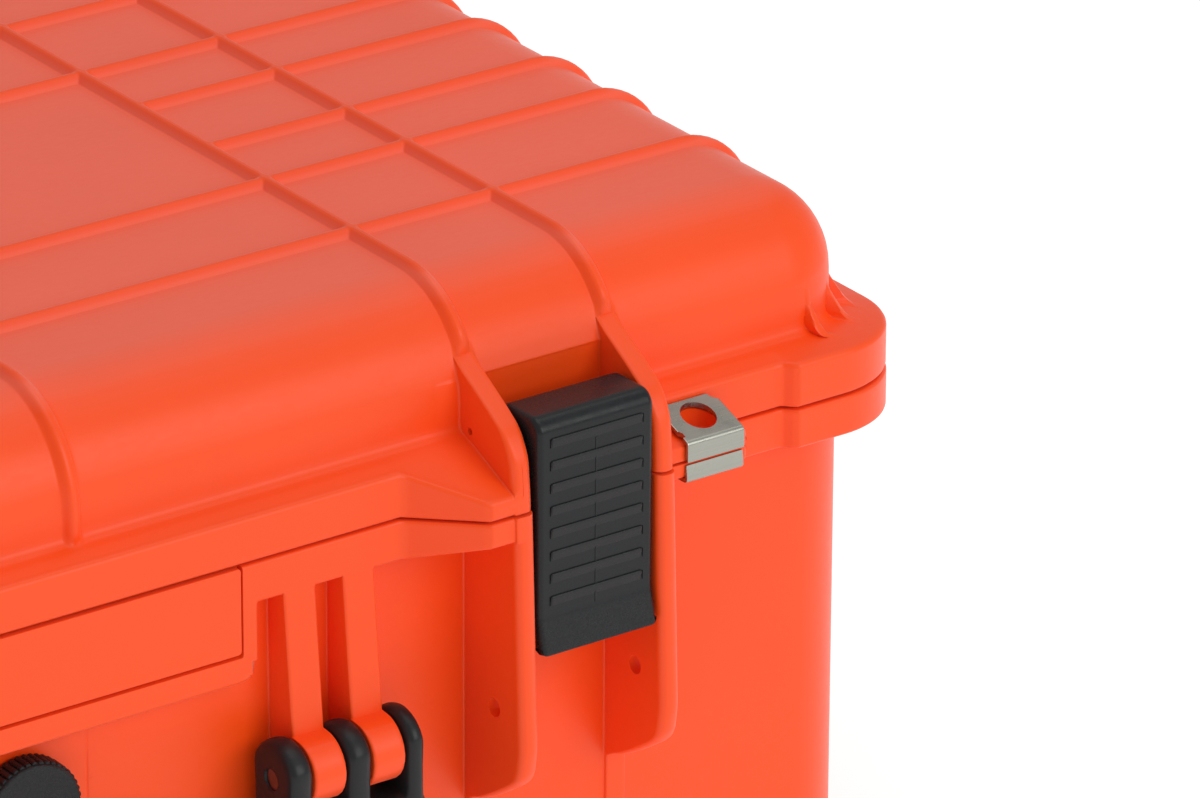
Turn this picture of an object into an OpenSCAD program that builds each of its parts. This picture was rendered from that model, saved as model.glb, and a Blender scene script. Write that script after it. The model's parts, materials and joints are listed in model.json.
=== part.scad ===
// A rugged hard case for first aid supplies: a deep base, a hinged and ribbed lid,
// two lever latches, a front handle, a pressure valve and padded compartments.
// X runs along the front, -Y is the front, +Z is up. The origin is the middle of the base's underside.

/* [Case] */
// Width of the base between its side walls
body_w = 513; // [420:1:630]
// Depth of the base between its front and back walls
body_d = 270; // [220:1:330]
// Height of the base, from the floor to the parting line
base_h = 160; // [130:1:200]
// Height of the lid above the parting line
lid_h = 48.5; // [40:0.5:60]
// Wall of both shells
wall = 4; // [3.2:0.1:5]
// Radius of the upright corners
corner_r = 22; // [18:1:27]
// Radius of the roll from the lid's top into its front and back walls
roll_r = 27; // [22:1:27]
// Radius of the roll from the lid's top into its side walls
side_roll_r = 21; // [18:1:27]
// Radius of the base's bottom edge
foot_r = 8; // [6:0.5:10]
// Step in from the base's front and back walls to the lid's
lid_step = 2; // [1:0.5:3]
// Step in from the base's side walls to the lid's
lid_side_step = 1; // [0.5:0.5:3]

/* [Flanges] */
// How far the flanges stand out from the base's walls
flange_reach = 10; // [8:0.5:12]
// How far the middle of the front flange is set back from its corners
flange_setback = 3; // [2:0.5:4]
// Height of the lid's flange
lid_flange_h = 12.5; // [10:0.5:15]
// Height of the base's flange
base_flange_h = 11; // [9:0.5:14]
// Radius of the flanges' corners
flange_r = 25; // [20:1:32]
// Parting gap between the two flanges
seam_gap = 0.5; // [0.3:0.1:0.8]

/* [Lid ribs] */
// Width of a rib
rib_w = 4.4; // [3.5:0.1:5.5]
// Height of a rib above the lid
rib_h = 2.2; // [1.5:0.1:3]
// Middle to the short inner ribs
rib_inner_y = 16.3; // [12:0.1:20]
// Middle to the long inner ribs
rib_mid_y = 43; // [34:0.5:52]
// Middle to the long outer ribs
rib_outer_y = 81.6; // [66:0.1:98]
// Middle to the short ribs over the front edge
rib_front_x = 18; // [14:0.5:22]

/* [Latches] */
// From the side wall to the middle of a latch
latch_inset = 101; // [84:1:122]
// Clear width between a latch's two ears
ear_gap = 37; // [31:0.5:45]
// Thickness of an ear
ear_t = 6; // [5:0.5:7.5]
// How far the ears stand out from the base's front wall
ear_reach = 22; // [20:0.5:25]
// Play between a latch lever and each ear
latch_play = 1; // [0.5:0.1:1.5]
// Wall of a latch lever
lever_wall = 3; // [2.4:0.1:3.6]
// Diameter of a latch pin
latch_pin_d = 2.5; // [2:0.1:4]
// Diameter of a hook pin
hook_pin_d = 3; // [2.4:0.1:4]
// Running clearance of every pin, on the radius
pin_play = 0.05; // [0.02:0.01:0.1]
// Diameter of the spare holes through the base's ears
spare_hole_d = 5; // [4:0.5:6]
// Gap between a shut hook's toe and the catch behind it
catch_gap = 0.4; // [0.3:0.1:0.8]

/* [Padlock plates] */
// Diameter of the padlock holes
lock_hole_d = 9.3; // [7.5:0.1:11]
// Width of a padlock plate
lock_plate_w = 17.5; // [15:0.5:21]
// Thickness of the plate's steel
lock_plate_t = 1.2; // [1:0.1:1.5]
// How far the padlock bosses stand out from the base's front wall
lock_reach = 21; // [19:0.5:24]

/* [Lid hinge] */
// Radius of a hinge knuckle
knuckle_r = 6.5; // [5.5:0.1:8]
// Width of a hinge knuckle
knuckle_w = 18; // [15:0.5:22]
// Diameter of a hinge pin
hinge_pin_d = 5; // [4:0.1:6]
// Middle of the case to the middle of each hinge
hinge_x = 130; // [100:1:150]

/* [Handle] */
// Gap from the handle's side to the middle of the latch
handle_gap = 48.5; // [44:0.5:58]
// Parting line down to the handle's pivot
handle_drop = 57; // [52:0.5:66]
// How far the pivot stands out from the base's front wall
handle_out = 12; // [11.5:0.1:14]
// Width of a handle prong
prong_w = 7; // [6:0.5:8]
// Width of a boss between two prongs
boss_w = 9.4; // [8:0.1:11]
// Play between a prong and a boss
boss_play = 0.5; // [0.3:0.1:0.8]
// Diameter of a handle pin
handle_pin_d = 5.5; // [4.5:0.1:6.5]
// Pivot down to the middle of the grip
grip_drop = 45; // [40:0.5:54]

/* [Name panel] */
// Height of the blank name panel
panel_h = 24; // [20:0.5:28]
// Thickness of the name panel
panel_t = 2; // [1.5:0.1:2.5]
// Gap around the name panel
panel_gap = 0.4; // [0.3:0.1:0.6]

/* [Pressure valve] */
// Parting line down to the valve's middle
valve_drop = 50; // [46:0.5:54]
// Diameter of the valve's knob
knob_d = 28; // [21:0.5:28]
// Diameter of the valve's bush through the wall
bush_d = 14; // [12:0.5:15]
// Diameter of the valve's stem
stem_d = 7; // [6:0.1:8]

/* [Inside] */
// Thickness of the floor pad
floor_pad_t = 6; // [4:0.5:8]
// Thickness of the lid's foam
lid_foam_t = 24; // [18:1:28]
// Thickness of a padded divider
divider_t = 8; // [6:0.5:10]
// Clear width of the middle compartment
well_w = 160; // [130:1:190]
// Gap between soft pieces and what holds them
pad_gap = 0.4; // [0.3:0.1:0.6]
// Width of the seal's cord
seal_d = 3.6; // [3:0.1:4]
// From the base's outer wall in to the middle of the seal
seal_inset = 0.5; // [0.3:0.1:1]
// Diameter of a bandage roll
roll_d = 60; // [48:1:66]
// Height of a bandage roll
roll_h = 100; // [80:1:115]

/* [Hidden] */
$fn = 96;
shell_col = "#FF5F32";
black_col = "#2D3032";
steel_col = "#BEBEB2";
foam_col = "#3A3C40";

// Case outlines
base_top = base_h - seam_gap / 2;
lid_bottom = base_h + seam_gap / 2;
lid_top = base_h + lid_h;
lid_w = body_w - 2 * lid_side_step;
lid_d = body_d - 2 * lid_step;
flange_w = body_w + 2 * flange_reach;
flange_d = body_d + 2 * flange_reach;
lid_flange_top = base_h + lid_flange_h;
base_flange_low = base_h - base_flange_h;
front_y = -body_d / 2;
front_flange_y = front_y - flange_reach + flange_setback;
setback_in = 32;
setback_w = body_w - 2 * setback_in;
cavity_w = body_w - 2 * wall;
cavity_d = body_d - 2 * wall;

// Latches
latch_x = body_w / 2 - latch_inset;
ear_off = ear_gap / 2 + ear_t / 2;
ear_in_x = latch_x - ear_off;
ear_out_x = latch_x + ear_off;
lever_w = ear_gap - 2 * latch_play;
lever_y = front_y - ear_reach;
pivot_y = lever_y + 16;
pivot_z = base_h + 16;
lever_top = pivot_z + 7.5;
lever_low = base_h - 39.5;
lever_nose = 4.5;
pocket_top = 28;
lever_eye_r = 4;
hook_y = lever_y + 7;
hook_z = base_h - 2;
hook_w = lever_w - 2 * lever_wall - latch_play;
hook_eye_r = 3.5;
catch_y = front_y - 11;
catch_z = base_h - 27;
slot_y = front_y - 3;
shoulder_run = 7.2;
lid_front_y = -lid_d / 2;

// Padlock plates
lock_x = ear_out_x + 15.75;
lock_y = front_y - lock_reach;
lock_hole_y = lock_y + 7.7;
lock_boss_w = lock_plate_w + 4;
lock_fit = 0.1;
lock_depth = front_flange_y - lock_y - 0.5;
lock_rise = 3.8;
lock_face_h = 5.3;

// Lid hinge
hinge_y = body_d / 2 + flange_reach + knuckle_r + 0.5;
knuckle_gap = 0.5;
knuckle_pitch = knuckle_w + knuckle_gap;

// Handle
handle_half = latch_x - handle_gap;
prong_pitch = prong_w + boss_w + 2 * boss_play;
prong_x = [for (i = [0:2]) handle_half - prong_w / 2 - i * prong_pitch];
boss_x = [for (i = [0:1]) handle_half - prong_w - boss_play - boss_w / 2 - i * prong_pitch];
arm_in_x = handle_half - 3 * prong_w - 2 * boss_w - 4 * boss_play;
handle_y = front_y - handle_out;
handle_z = base_h - handle_drop;
boss_r = 8.5;
prong_r = 10;
arm_t = 18;
bar_h = 20;
bar_z = handle_z - grip_drop;
arm_top = handle_z - boss_r - 3.5;
grip_skin = 2.5;
grip_r = 4;
grip_w = 2 * arm_in_x - 12;

// Name panel
panel_w = 2 * (arm_in_x - 4.3);
apron_low = base_h - 31.6;

// Pressure valve
valve_z = base_h - valve_drop;
washer_t = 1;
head_t = 1.5;
knob_t = 7;
knob_front = front_y - 7.6;

// Inside
floor_z = wall;
pad_top = floor_z + floor_pad_t;
divider_x = well_w / 2 + divider_t / 2;
divider_top = base_h - 20;
tongue_w = 2;
tongue_h = 2;
groove_depth = 5.5;
side_w = cavity_w / 2 - well_w / 2 - divider_t;
side_mid = cavity_w / 2 - side_w / 2;

// Supplies, from the padding up
side_play = 24.5;
supply_w = side_w - side_play;
roll_spacing = roll_d + 14;
roll_core_d = roll_d / 5;
stack_gap = 0.4;
dressing_d = 108;
dressing_t = 24.6;
tape_d = 76;
tape_core_d = 40;
tape_t = 25.6;
tape_x = side_mid - 34;
front_row_y = -48;
bottle_x = side_mid + 42;
bottle_r = 26;
neck_r = 11;
bottle_h = 112;
cap_r = 14;
cap_h = 18;
cold_pack_t = 24;
cold_pack_h = 100;

// ---------- shared shapes ----------

// Rectangle with round corners, centred on the origin.
module round_rect(w, d, r) {
    square([w - 2 * r, d], center = true);
    square([w, d - 2 * r], center = true);
    for (x = [-1, 1], y = [-1, 1])
        translate([x * (w / 2 - r), y * (d / 2 - r)]) circle(r);
}

// Upright outline from z0 to z1 with its two top corners rounded.
module arch(w, z0, z1, r) {
    intersection() {
        union() {
            translate([-w / 2, z0]) square([w, z1 - r - z0]);
            translate([r - w / 2, z0]) square([w - 2 * r, z1 - z0]);
            for (x = [-1, 1]) translate([x * (w / 2 - r), z1 - r]) circle(r);
        }
        translate([-w, z0]) square([2 * w, z1 - z0 + 1]);
    }
}

// Runs an outline drawn in Y and Z along X, centred on x.
module along_x(length, x = 0) {
    translate([x, 0, 0]) rotate([90, 0, 90]) linear_extrude(length, center = true) children();
}

// Runs an outline drawn in X and Z along Y, centred on y.
module along_y(length, y = 0) {
    translate([0, y, 0]) rotate([90, 0, 0]) linear_extrude(length, center = true) children();
}

// Round rod along X, centred on x.
module rod_x(length, r, x, y, z) {
    translate([x, y, z]) rotate([0, 90, 0]) cylinder(h = length, r = r, center = true);
}

// Round rod along Y from its front face at y0 to its back face at y1.
module rod_y(y0, y1, r, z) {
    translate([0, y1, z]) rotate([90, 0, 0]) cylinder(h = y1 - y0, r = r);
}

// Upright block with round corners in plan and its top edges rolled over.
module rolled_block(w, d, z0, z1, r, roll, side_roll) {
    intersection() {
        translate([0, 0, z0]) linear_extrude(z1 - z0) round_rect(w, d, r);
        along_y(d + 2) arch(w, z0 - 1, z1, side_roll);
        along_x(w + 2) arch(d, z0 - 1, z1, roll);
    }
}

// Ring that follows the rim of the case, set in from the base's outer wall.
module rim_ring(inset, width, z0, z1) {
    translate([0, 0, z0]) linear_extrude(z1 - z0) difference() {
        round_rect(body_w - 2 * inset + width, body_d - 2 * inset + width, corner_r - inset + width / 2);
        round_rect(body_w - 2 * inset - width, body_d - 2 * inset - width, corner_r - inset - width / 2);
    }
}

// Flange plate of either shell, with the middle of its front set back.
module flange(z0, z1) {
    difference() {
        translate([0, 0, z0]) linear_extrude(z1 - z0) round_rect(flange_w, flange_d, flange_r);
        translate([-setback_w / 2, -flange_d, z0 - 1])
            cube([setback_w, flange_d + front_flange_y, z1 - z0 + 2]);
    }
}

// Both sides of the case: its children as drawn on the right, and mirrored.
module both_sides() {
    children();
    mirror([1, 0, 0]) children();
}

// ---------- shells ----------

// Ear of the lid beside a latch.
module lid_ear(x) {
    along_x(ear_t, x) polygon([
        [lid_front_y + 6, base_h + 33], [lid_front_y + 1, base_h + 33],
        [lever_y + 15, base_h + 26], [lever_y + 6, base_h + 21], [lever_y + 1.7, base_h + 14.3],
        [lever_y + 0.4, base_h + 6.5], [lever_y, lid_bottom], [lid_front_y + 6, lid_bottom]]);
}

// Ear of the base beside a latch.
module base_ear(x) {
    along_x(ear_t, x) polygon([
        [front_y + 2, base_top], [lever_y - 0.5, base_top], [lever_y - 0.9, base_h - 7],
        [lever_y - 3, base_h - 64], [lever_y - 2, base_h - 71], [lever_y, base_h - 74],
        [front_y - 8, base_h - 83], [front_y, base_h - 86], [front_y + 2, base_h - 86]]);
}

// Shoulder beside the inner ear that brings the flange forward to the latch.
module shoulder(z0, z1, z_front) {
    edge_x = ear_in_x - ear_t / 2;
    run = front_flange_y - lever_y;
    intersection() {
        translate([0, 0, min(z0, z1)]) linear_extrude(abs(z1 - z0)) polygon([
            [edge_x - shoulder_run - run, front_flange_y], [edge_x - shoulder_run, lever_y],
            [edge_x + 1, lever_y], [edge_x + 1, front_y - 1], [edge_x - shoulder_run - run, front_y - 1]]);
        along_x(80, edge_x) polygon([
            [lever_y, z0], [lever_y, z_front], [front_flange_y, z1], [front_y, z1], [front_y, z0]]);
    }
}

// Block that carries a padlock plate; dir is 1 on the lid and -1 on the base.
module lock_boss(dir) {
    z0 = base_h + dir * seam_gap / 2;
    skin = lock_plate_t + lock_fit;
    rise = dir > 0 ? lock_rise : 0;
    along_x(lock_boss_w + 4, lock_x - 2) polygon([
        [lock_y + skin, z0], [lock_y + skin, z0 + dir * (lock_face_h - skin)],
        [front_flange_y, z0 + dir * (lock_face_h - skin) + rise],
        [front_y, z0 + dir * (lock_face_h - skin) + rise], [front_y, z0]]);
}

// Square clearance for a shackle through a padlock boss.
module lock_pocket() {
    translate([lock_x, lock_hole_y, base_h]) cube([lock_hole_d + 2, lock_hole_d + 2, 60], center = true);
}

// Small upright gussets between the lid's wall and its flange at one corner.
module corner_gussets() {
    for (a = [25, 50, 75])
        translate([lid_w / 2 - corner_r, lid_d / 2 - corner_r, 0]) rotate([0, 0, a])
            along_y(2.2) polygon([
                [corner_r - 3, lid_flange_top - 1], [corner_r + 8.5, lid_flange_top - 1],
                [corner_r + 8.5, lid_flange_top], [corner_r - 1, lid_flange_top + 11],
                [corner_r - 3, lid_flange_top + 11]]);
}

// Ribs over the lid, as plates that the lid's own cavity then hollows.
module lid_ribs() {
    low = lid_flange_top - 2;
    for (y = [-1, 1]) {
        for (row = [rib_mid_y, rib_outer_y])
            along_y(rib_w, y * row) arch(lid_w + 2 * rib_h, low, lid_top + rib_h, side_roll_r + rib_h);
        difference() {
            along_y(rib_w, y * rib_inner_y)
                arch(lid_w + 2 * rib_h, low, lid_top + rib_h, side_roll_r + rib_h);
            cube([2 * ear_in_x, body_d, 3 * lid_top], center = true);
        }
    }
    for (x = [ear_in_x, ear_out_x])
        both_sides() along_x(rib_w, x) arch(lid_d + 2 * rib_h, low, lid_top + rib_h, roll_r + rib_h);
    both_sides() intersection() {
        along_x(rib_w, rib_front_x) arch(lid_d + 2 * rib_h, low, lid_top + rib_h, roll_r + rib_h);
        translate([0, -body_d, 0]) cube([body_w, body_d - rib_mid_y, 2 * lid_top]);
    }
}

// Knuckles of one hinge; turn 1 gives the lid's two, turn 0 the base's three.
module knuckles(turn) {
    up = turn == 1 ? 1 : -1;
    z0 = base_h + up * seam_gap / 2;
    reach = turn == 1 ? lid_flange_h : base_flange_h;
    for (i = turn == 1 ? [-1, 1] : [-2, 0, 2]) {
        x = hinge_x + i * knuckle_pitch;
        rod_x(knuckle_w, knuckle_r, x, hinge_y, base_h);
        along_x(knuckle_w, x) polygon([
            [body_d / 2, z0], [hinge_y, z0], [hinge_y, base_h + up * knuckle_r],
            [hinge_y - 4, base_h + up * knuckle_r],
            [body_d / 2 + flange_reach - 1, base_h + up * (reach - 0.5)],
            [body_d / 2, base_h + up * (reach - 0.5)]]);
    }
}

// Bore of one hinge through all its knuckles.
module hinge_bore() {
    rod_x(5 * knuckle_pitch + 2, hinge_pin_d / 2 + pin_play, hinge_x, hinge_y, base_h);
}

// Slats and bosses that carry one end of the handle.
module handle_mount() {
    for (x = boss_x) {
        along_x(boss_w, x) polygon([
            [front_y + 1, base_h - 5], [front_flange_y, base_h - 5],
            [handle_y + 1.5, handle_z + 7], [handle_y, handle_z],
            [front_y, handle_z - boss_r], [front_y + 1, handle_z - boss_r]]);
        rod_x(boss_w, boss_r, x, handle_y, handle_z);
    }
}

// Catch between the base's ears, for the latch's hook.
module catch_rib() {
    along_x(hook_w - 1, latch_x) polygon([
        [front_y + 1, catch_z + 8], [front_y, catch_z + 8], [catch_y, catch_z + 3],
        [catch_y, catch_z - 2], [catch_y + 5, catch_z - 2],
        [front_y, catch_z - 6], [front_y + 1, catch_z - 6]]);
}

module base_shell() {
    color(shell_col) difference() {
        union() {
            mirror([0, 0, 1]) rolled_block(body_w, body_d, -base_top, 0, corner_r, foot_r, foot_r);
            flange(base_flange_low, base_top);
            // apron behind the name panel
            translate([0, (front_flange_y + front_y + 1) / 2, (apron_low + base_top) / 2])
                rotate([90, 0, 0]) linear_extrude(front_y + 1 - front_flange_y, center = true)
                    round_rect(2 * arm_in_x, base_top - apron_low, 5);
            rim_ring(seal_inset, tongue_w, base_top - 1, base_top + tongue_h);
            both_sides() {
                base_ear(ear_in_x);
                base_ear(ear_out_x);
                shoulder(base_top, base_flange_low, base_h - 6.9);
                lock_boss(-1);
                knuckles(0);
                handle_mount();
                catch_rib();
            }
        }
        // main cavity
        mirror([0, 0, 1])
            rolled_block(cavity_w, cavity_d, -base_h - 5, -wall, corner_r - wall, foot_r - wall,
                foot_r - wall);
        // recess for the name panel
        translate([-panel_w / 2, front_flange_y - 1, base_top - panel_h])
            cube([panel_w, panel_t + 1, panel_h + 1]);
        both_sides() {
            // flange cut back behind the latch
            translate([latch_x - ear_gap / 2, lever_y - 5, base_flange_low - 1])
                cube([ear_gap, slot_y - lever_y + 5, base_flange_h + 2]);
            rod_x(ear_gap + 3 * ear_t, spare_hole_d / 2, latch_x, front_y - 13, base_h - 55.5);
            lock_pocket();
            hinge_bore();
            rod_x(handle_half, handle_pin_d / 2 + pin_play, handle_half, handle_y, handle_z);
        }
        rod_y(front_y - 5, front_y + 20, bush_d / 2 + 0.2, valve_z);
    }
}

module lid_shell() {
    color(shell_col) difference() {
        union() {
            rolled_block(lid_w, lid_d, lid_bottom, lid_top, corner_r, roll_r, side_roll_r);
            flange(lid_bottom, lid_flange_top);
            lid_ribs();
            for (x = [0, 1], y = [0, 1])
                mirror([x, 0, 0]) mirror([0, y, 0]) corner_gussets();
            both_sides() {
                lid_ear(ear_in_x);
                lid_ear(ear_out_x);
                shoulder(lid_bottom, lid_flange_top, base_h + 5.8);
                lock_boss(1);
                knuckles(1);
            }
        }
        // main cavity
        rolled_block(cavity_w - 2 * lid_side_step, cavity_d - 2 * lid_step, lid_bottom - 5, lid_top - wall,
            corner_r - wall, roll_r - wall, side_roll_r - wall);
        // groove for the seal and the base's tongue
        rim_ring(seal_inset, seal_d + 0.4, lid_bottom - 1, lid_bottom + groove_depth);
        both_sides() {
            // pocket behind the latch
            translate([latch_x - ear_gap / 2, lever_y - 5, lid_bottom - 1])
                cube([ear_gap, slot_y - lever_y + 5, lid_flange_h + 2]);
            translate([latch_x - ear_gap / 2, lever_y - 5, lid_flange_top])
                cube([ear_gap, lid_front_y + 0.8 - lever_y + 5, pocket_top - lid_flange_h]);
            rod_x(ear_gap + 2 * ear_t - 1, latch_pin_d / 2 + pin_play, latch_x, pivot_y, pivot_z);
            lock_pocket();
            hinge_bore();
        }
    }
}

module name_panel() {
    color(shell_col) translate([-panel_w / 2 + panel_gap, front_flange_y, base_top - panel_h + panel_gap])
        cube([panel_w - 2 * panel_gap, panel_t, panel_h - 2 * panel_gap]);
}

// Rubber cord in the lid's groove, just above the base's tongue.
module lid_seal() {
    color(black_col) rim_ring(seal_inset, seal_d, base_top + tongue_h + 0.3, lid_bottom + groove_depth);
}

// ---------- latches ----------

// Hollow lever: a front plate with a flared lip, a top plate and two cheeks.
module latch_lever() {
    color(black_col) difference() {
        union() {
            along_x(lever_w, latch_x) polygon([
                [lever_y, lever_top - lever_nose], [lever_y + lever_nose, lever_top - lever_nose],
                [lever_y + lever_nose, lever_top], [pivot_y, lever_top],
                [pivot_y, pivot_z], [pivot_y - 2, base_h + 4], [pivot_y - 4, base_h - 30],
                [lever_y + 4, lever_low], [lever_y - 2.5, lever_low], [lever_y, lever_low + 8.5]]);
            rod_x(lever_w, lever_nose, latch_x, lever_y + lever_nose, lever_top - lever_nose);
            rod_x(lever_w, lever_eye_r, latch_x, pivot_y, pivot_z);
        }
        translate([latch_x - lever_w / 2 + lever_wall, lever_y + lever_wall, lever_low + 4.5])
            cube([lever_w - 2 * lever_wall, 30, lever_top - lever_wall - lever_low - 4.5]);
        rod_x(lever_w + 2, latch_pin_d / 2 + pin_play, latch_x, pivot_y, pivot_z);
        rod_x(lever_w + 2, hook_pin_d / 2 + pin_play, latch_x, hook_y, hook_z);
    }
}

// Draw hook that hangs from the lever and reaches down to the base's catch.
module latch_hook() {
    toe_y = catch_y - catch_gap;
    color(black_col) difference() {
        union() {
            rod_x(hook_w, hook_eye_r, latch_x, hook_y, hook_z);
            along_x(hook_w, latch_x) polygon([
                [hook_y - 1, hook_z], [hook_y + 2, hook_z], [toe_y - 1.6, catch_z - 3],
                [toe_y, catch_z - 3.5], [toe_y, catch_z - 7], [hook_y - 1, catch_z - 7]]);
        }
        rod_x(hook_w + 2, hook_pin_d / 2 + pin_play, latch_x, hook_y, hook_z);
    }
}

module latch_pin() {
    color(steel_col) rod_x(ear_gap + 2 * ear_t - 2, latch_pin_d / 2, latch_x, pivot_y, pivot_z);
}

module hook_pin() {
    color(steel_col) rod_x(lever_w - 0.6, hook_pin_d / 2, latch_x, hook_y, hook_z);
}

// ---------- padlock plates ----------

// Bent steel plate on a padlock boss; dir is 1 on the lid and -1 on the base.
module lock_plate(dir) {
    z0 = base_h + dir * seam_gap / 2;
    rise = dir > 0 ? lock_rise * lock_depth / (front_flange_y - lock_y) : 0;
    z1 = z0 + dir * lock_face_h;
    back = lock_y + lock_depth;
    color(steel_col) difference() {
        along_x(lock_plate_w, lock_x) polygon([
            [lock_y, z0], [lock_y, z1], [back, z1 + rise], [back, z1 + rise - dir * lock_plate_t],
            [lock_y + lock_plate_t, z1 - dir * lock_plate_t], [lock_y + lock_plate_t, z0]]);
        translate([lock_x, lock_hole_y, base_h]) cylinder(h = 60, d = lock_hole_d, center = true);
    }
}

// ---------- hinge pins ----------

module hinge_pin() {
    color(steel_col) rod_x(5 * knuckle_pitch - 2, hinge_pin_d / 2, hinge_x, hinge_y, base_h);
}

module handle_pin() {
    length = handle_half - arm_in_x - 1;
    color(steel_col) rod_x(length, handle_pin_d / 2, handle_half - length / 2 - 0.5, handle_y, handle_z);
}

// ---------- handle ----------

module handle_frame() {
    color(black_col) difference() {
        union() {
            both_sides() for (x = prong_x) {
                rod_x(prong_w, prong_r, x, handle_y, handle_z);
                translate([x, handle_y, (handle_z + bar_z) / 2])
                    cube([prong_w, arm_t, handle_z - bar_z], center = true);
            }
            translate([0, handle_y, (arm_top + bar_z - bar_h / 2) / 2]) rotate([90, 0, 0])
                linear_extrude(arm_t, center = true) difference() {
                    round_rect(2 * handle_half, arm_top - bar_z + bar_h / 2, 12);
                    translate([-arm_in_x, -(arm_top - bar_z + bar_h / 2) / 2 + bar_h])
                        square([2 * arm_in_x, 100]);
                }
        }
        both_sides() rod_x(handle_half, handle_pin_d / 2 + pin_play, handle_half, handle_y, handle_z);
    }
}

module handle_grip() {
    color(black_col) along_x(grip_w) difference() {
        translate([handle_y, bar_z]) round_rect(arm_t + 2 * grip_skin - 1, bar_h + 2 * grip_skin, grip_r);
        translate([handle_y, bar_z]) square([arm_t + 0.1, bar_h + 0.1], center = true);
    }
}

// ---------- pressure valve ----------

module valve_body() {
    color(black_col) difference() {
        union() {
            rod_y(front_y - washer_t - head_t, front_y - washer_t, bush_d / 2 + 3, valve_z);
            rod_y(front_y - washer_t, front_y + wall + 7, bush_d / 2, valve_z);
        }
        rod_y(front_y - 20, front_y + 30, stem_d / 2 + pin_play, valve_z);
    }
}

module valve_washer() {
    color("#1C1D1F") difference() {
        rod_y(front_y - washer_t, front_y, bush_d / 2 + 2.8, valve_z);
        rod_y(front_y - 5, front_y + 5, bush_d / 2 + 0.2, valve_z);
    }
}

module valve_nut() {
    color(black_col) difference() {
        translate([0, front_y + wall + 5, valve_z]) rotate([90, 0, 0])
            cylinder(h = 5, r = bush_d / 2 + 5, $fn = 6);
        rod_y(front_y, front_y + 20, bush_d / 2 + pin_play, valve_z);
    }
}

module valve_stem() {
    color(steel_col) rod_y(knob_front + 2.5, front_y + wall + 10, stem_d / 2, valve_z);
}

module valve_knob() {
    color(black_col) difference() {
        rod_y(knob_front, knob_front + knob_t, knob_d / 2, valve_z);
        rod_y(front_y - washer_t - head_t - 0.4, front_y + 1, bush_d / 2 + 3.5, valve_z);
        rod_y(knob_front + 2.5, front_y + 1, stem_d / 2, valve_z);
    }
}

// ---------- inside ----------

module lid_foam() {
    inset = wall + pad_gap;
    color(foam_col) rolled_block(lid_w - 2 * inset, lid_d - 2 * inset, lid_top - wall - lid_foam_t,
        lid_top - inset, corner_r - inset, roll_r - inset, side_roll_r - inset);
}

module floor_pad() {
    inset = foot_r - wall + pad_gap;
    color(foam_col) translate([0, 0, floor_z]) linear_extrude(floor_pad_t)
        round_rect(cavity_w - 2 * inset, cavity_d - 2 * inset, corner_r - wall - inset / 2);
}

module divider() {
    color(foam_col) translate([divider_x - divider_t / 2, -cavity_d / 2 + pad_gap, pad_top])
        cube([divider_t, cavity_d - 2 * pad_gap, divider_top - pad_top]);
}

module bandage_rolls() {
    color("#F2EEE2") for (i = [-1, 1], j = [-1:1])
        translate([-side_mid + i * (roll_d / 2 + 4), j * roll_spacing, pad_top]) difference() {
            cylinder(h = roll_h, d = roll_d);
            translate([0, 0, -1]) cylinder(h = roll_h + 2, d = roll_core_d);
        }
}

module dressing_packs() {
    color("#E9F0EE") for (i = [0:3])
        translate([side_mid, 12 + dressing_d / 2, pad_top + i * (dressing_t + stack_gap)])
            linear_extrude(dressing_t) round_rect(supply_w, dressing_d, 3);
}

module tape_rolls() {
    color("#F4F4F0") for (i = [0:1])
        translate([tape_x, front_row_y, pad_top + i * (tape_t + stack_gap)]) difference() {
            cylinder(h = tape_t, d = tape_d);
            translate([0, 0, -1]) cylinder(h = tape_t + 2, d = tape_core_d);
        }
}

module antiseptic_bottle() {
    color("#FAFAFA") translate([bottle_x, front_row_y, pad_top]) rotate_extrude() polygon([
        [0, 0], [bottle_r - 2, 0], [bottle_r, 2], [bottle_r, bottle_h - 28], [bottle_r - 4, bottle_h - 18],
        [neck_r, bottle_h - 12], [neck_r, bottle_h], [0, bottle_h]]);
}

module bottle_cap() {
    color("#2E7CC4") translate([bottle_x, front_row_y, pad_top + bottle_h - 11]) difference() {
        cylinder(h = cap_h, r = cap_r);
        translate([0, 0, -1]) cylinder(h = 12.2, r = neck_r + 0.2);
    }
}

module cold_pack() {
    color("#7FB4DE") translate([side_mid - supply_w / 2, -cavity_d / 2 + 6, pad_top])
        cube([supply_w, cold_pack_t, cold_pack_h]);
}

base_shell();
lid_shell();
name_panel();
lid_seal();
mirror([1, 0, 0]) latch_lever();  // latch_lever_left
latch_lever();  // latch_lever_right
mirror([1, 0, 0]) latch_hook();  // latch_hook_left
latch_hook();  // latch_hook_right
mirror([1, 0, 0]) latch_pin();  // latch_pin_left
latch_pin();  // latch_pin_right
mirror([1, 0, 0]) hook_pin();  // hook_pin_left
hook_pin();  // hook_pin_right
mirror([1, 0, 0]) lock_plate(1);  // lock_plate_upper_left
lock_plate(1);  // lock_plate_upper_right
mirror([1, 0, 0]) lock_plate(-1);  // lock_plate_lower_left
lock_plate(-1);  // lock_plate_lower_right
mirror([1, 0, 0]) hinge_pin();  // hinge_pin_left
hinge_pin();  // hinge_pin_right
handle_frame();
handle_grip();
mirror([1, 0, 0]) handle_pin();  // handle_pin_left
handle_pin();  // handle_pin_right
valve_body();
valve_washer();
valve_nut();
valve_stem();
valve_knob();
lid_foam();
floor_pad();
mirror([1, 0, 0]) divider();  // divider_left
divider();  // divider_right
bandage_rolls();
dressing_packs();
tape_rolls();
antiseptic_bottle();
bottle_cap();
cold_pack();
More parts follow.
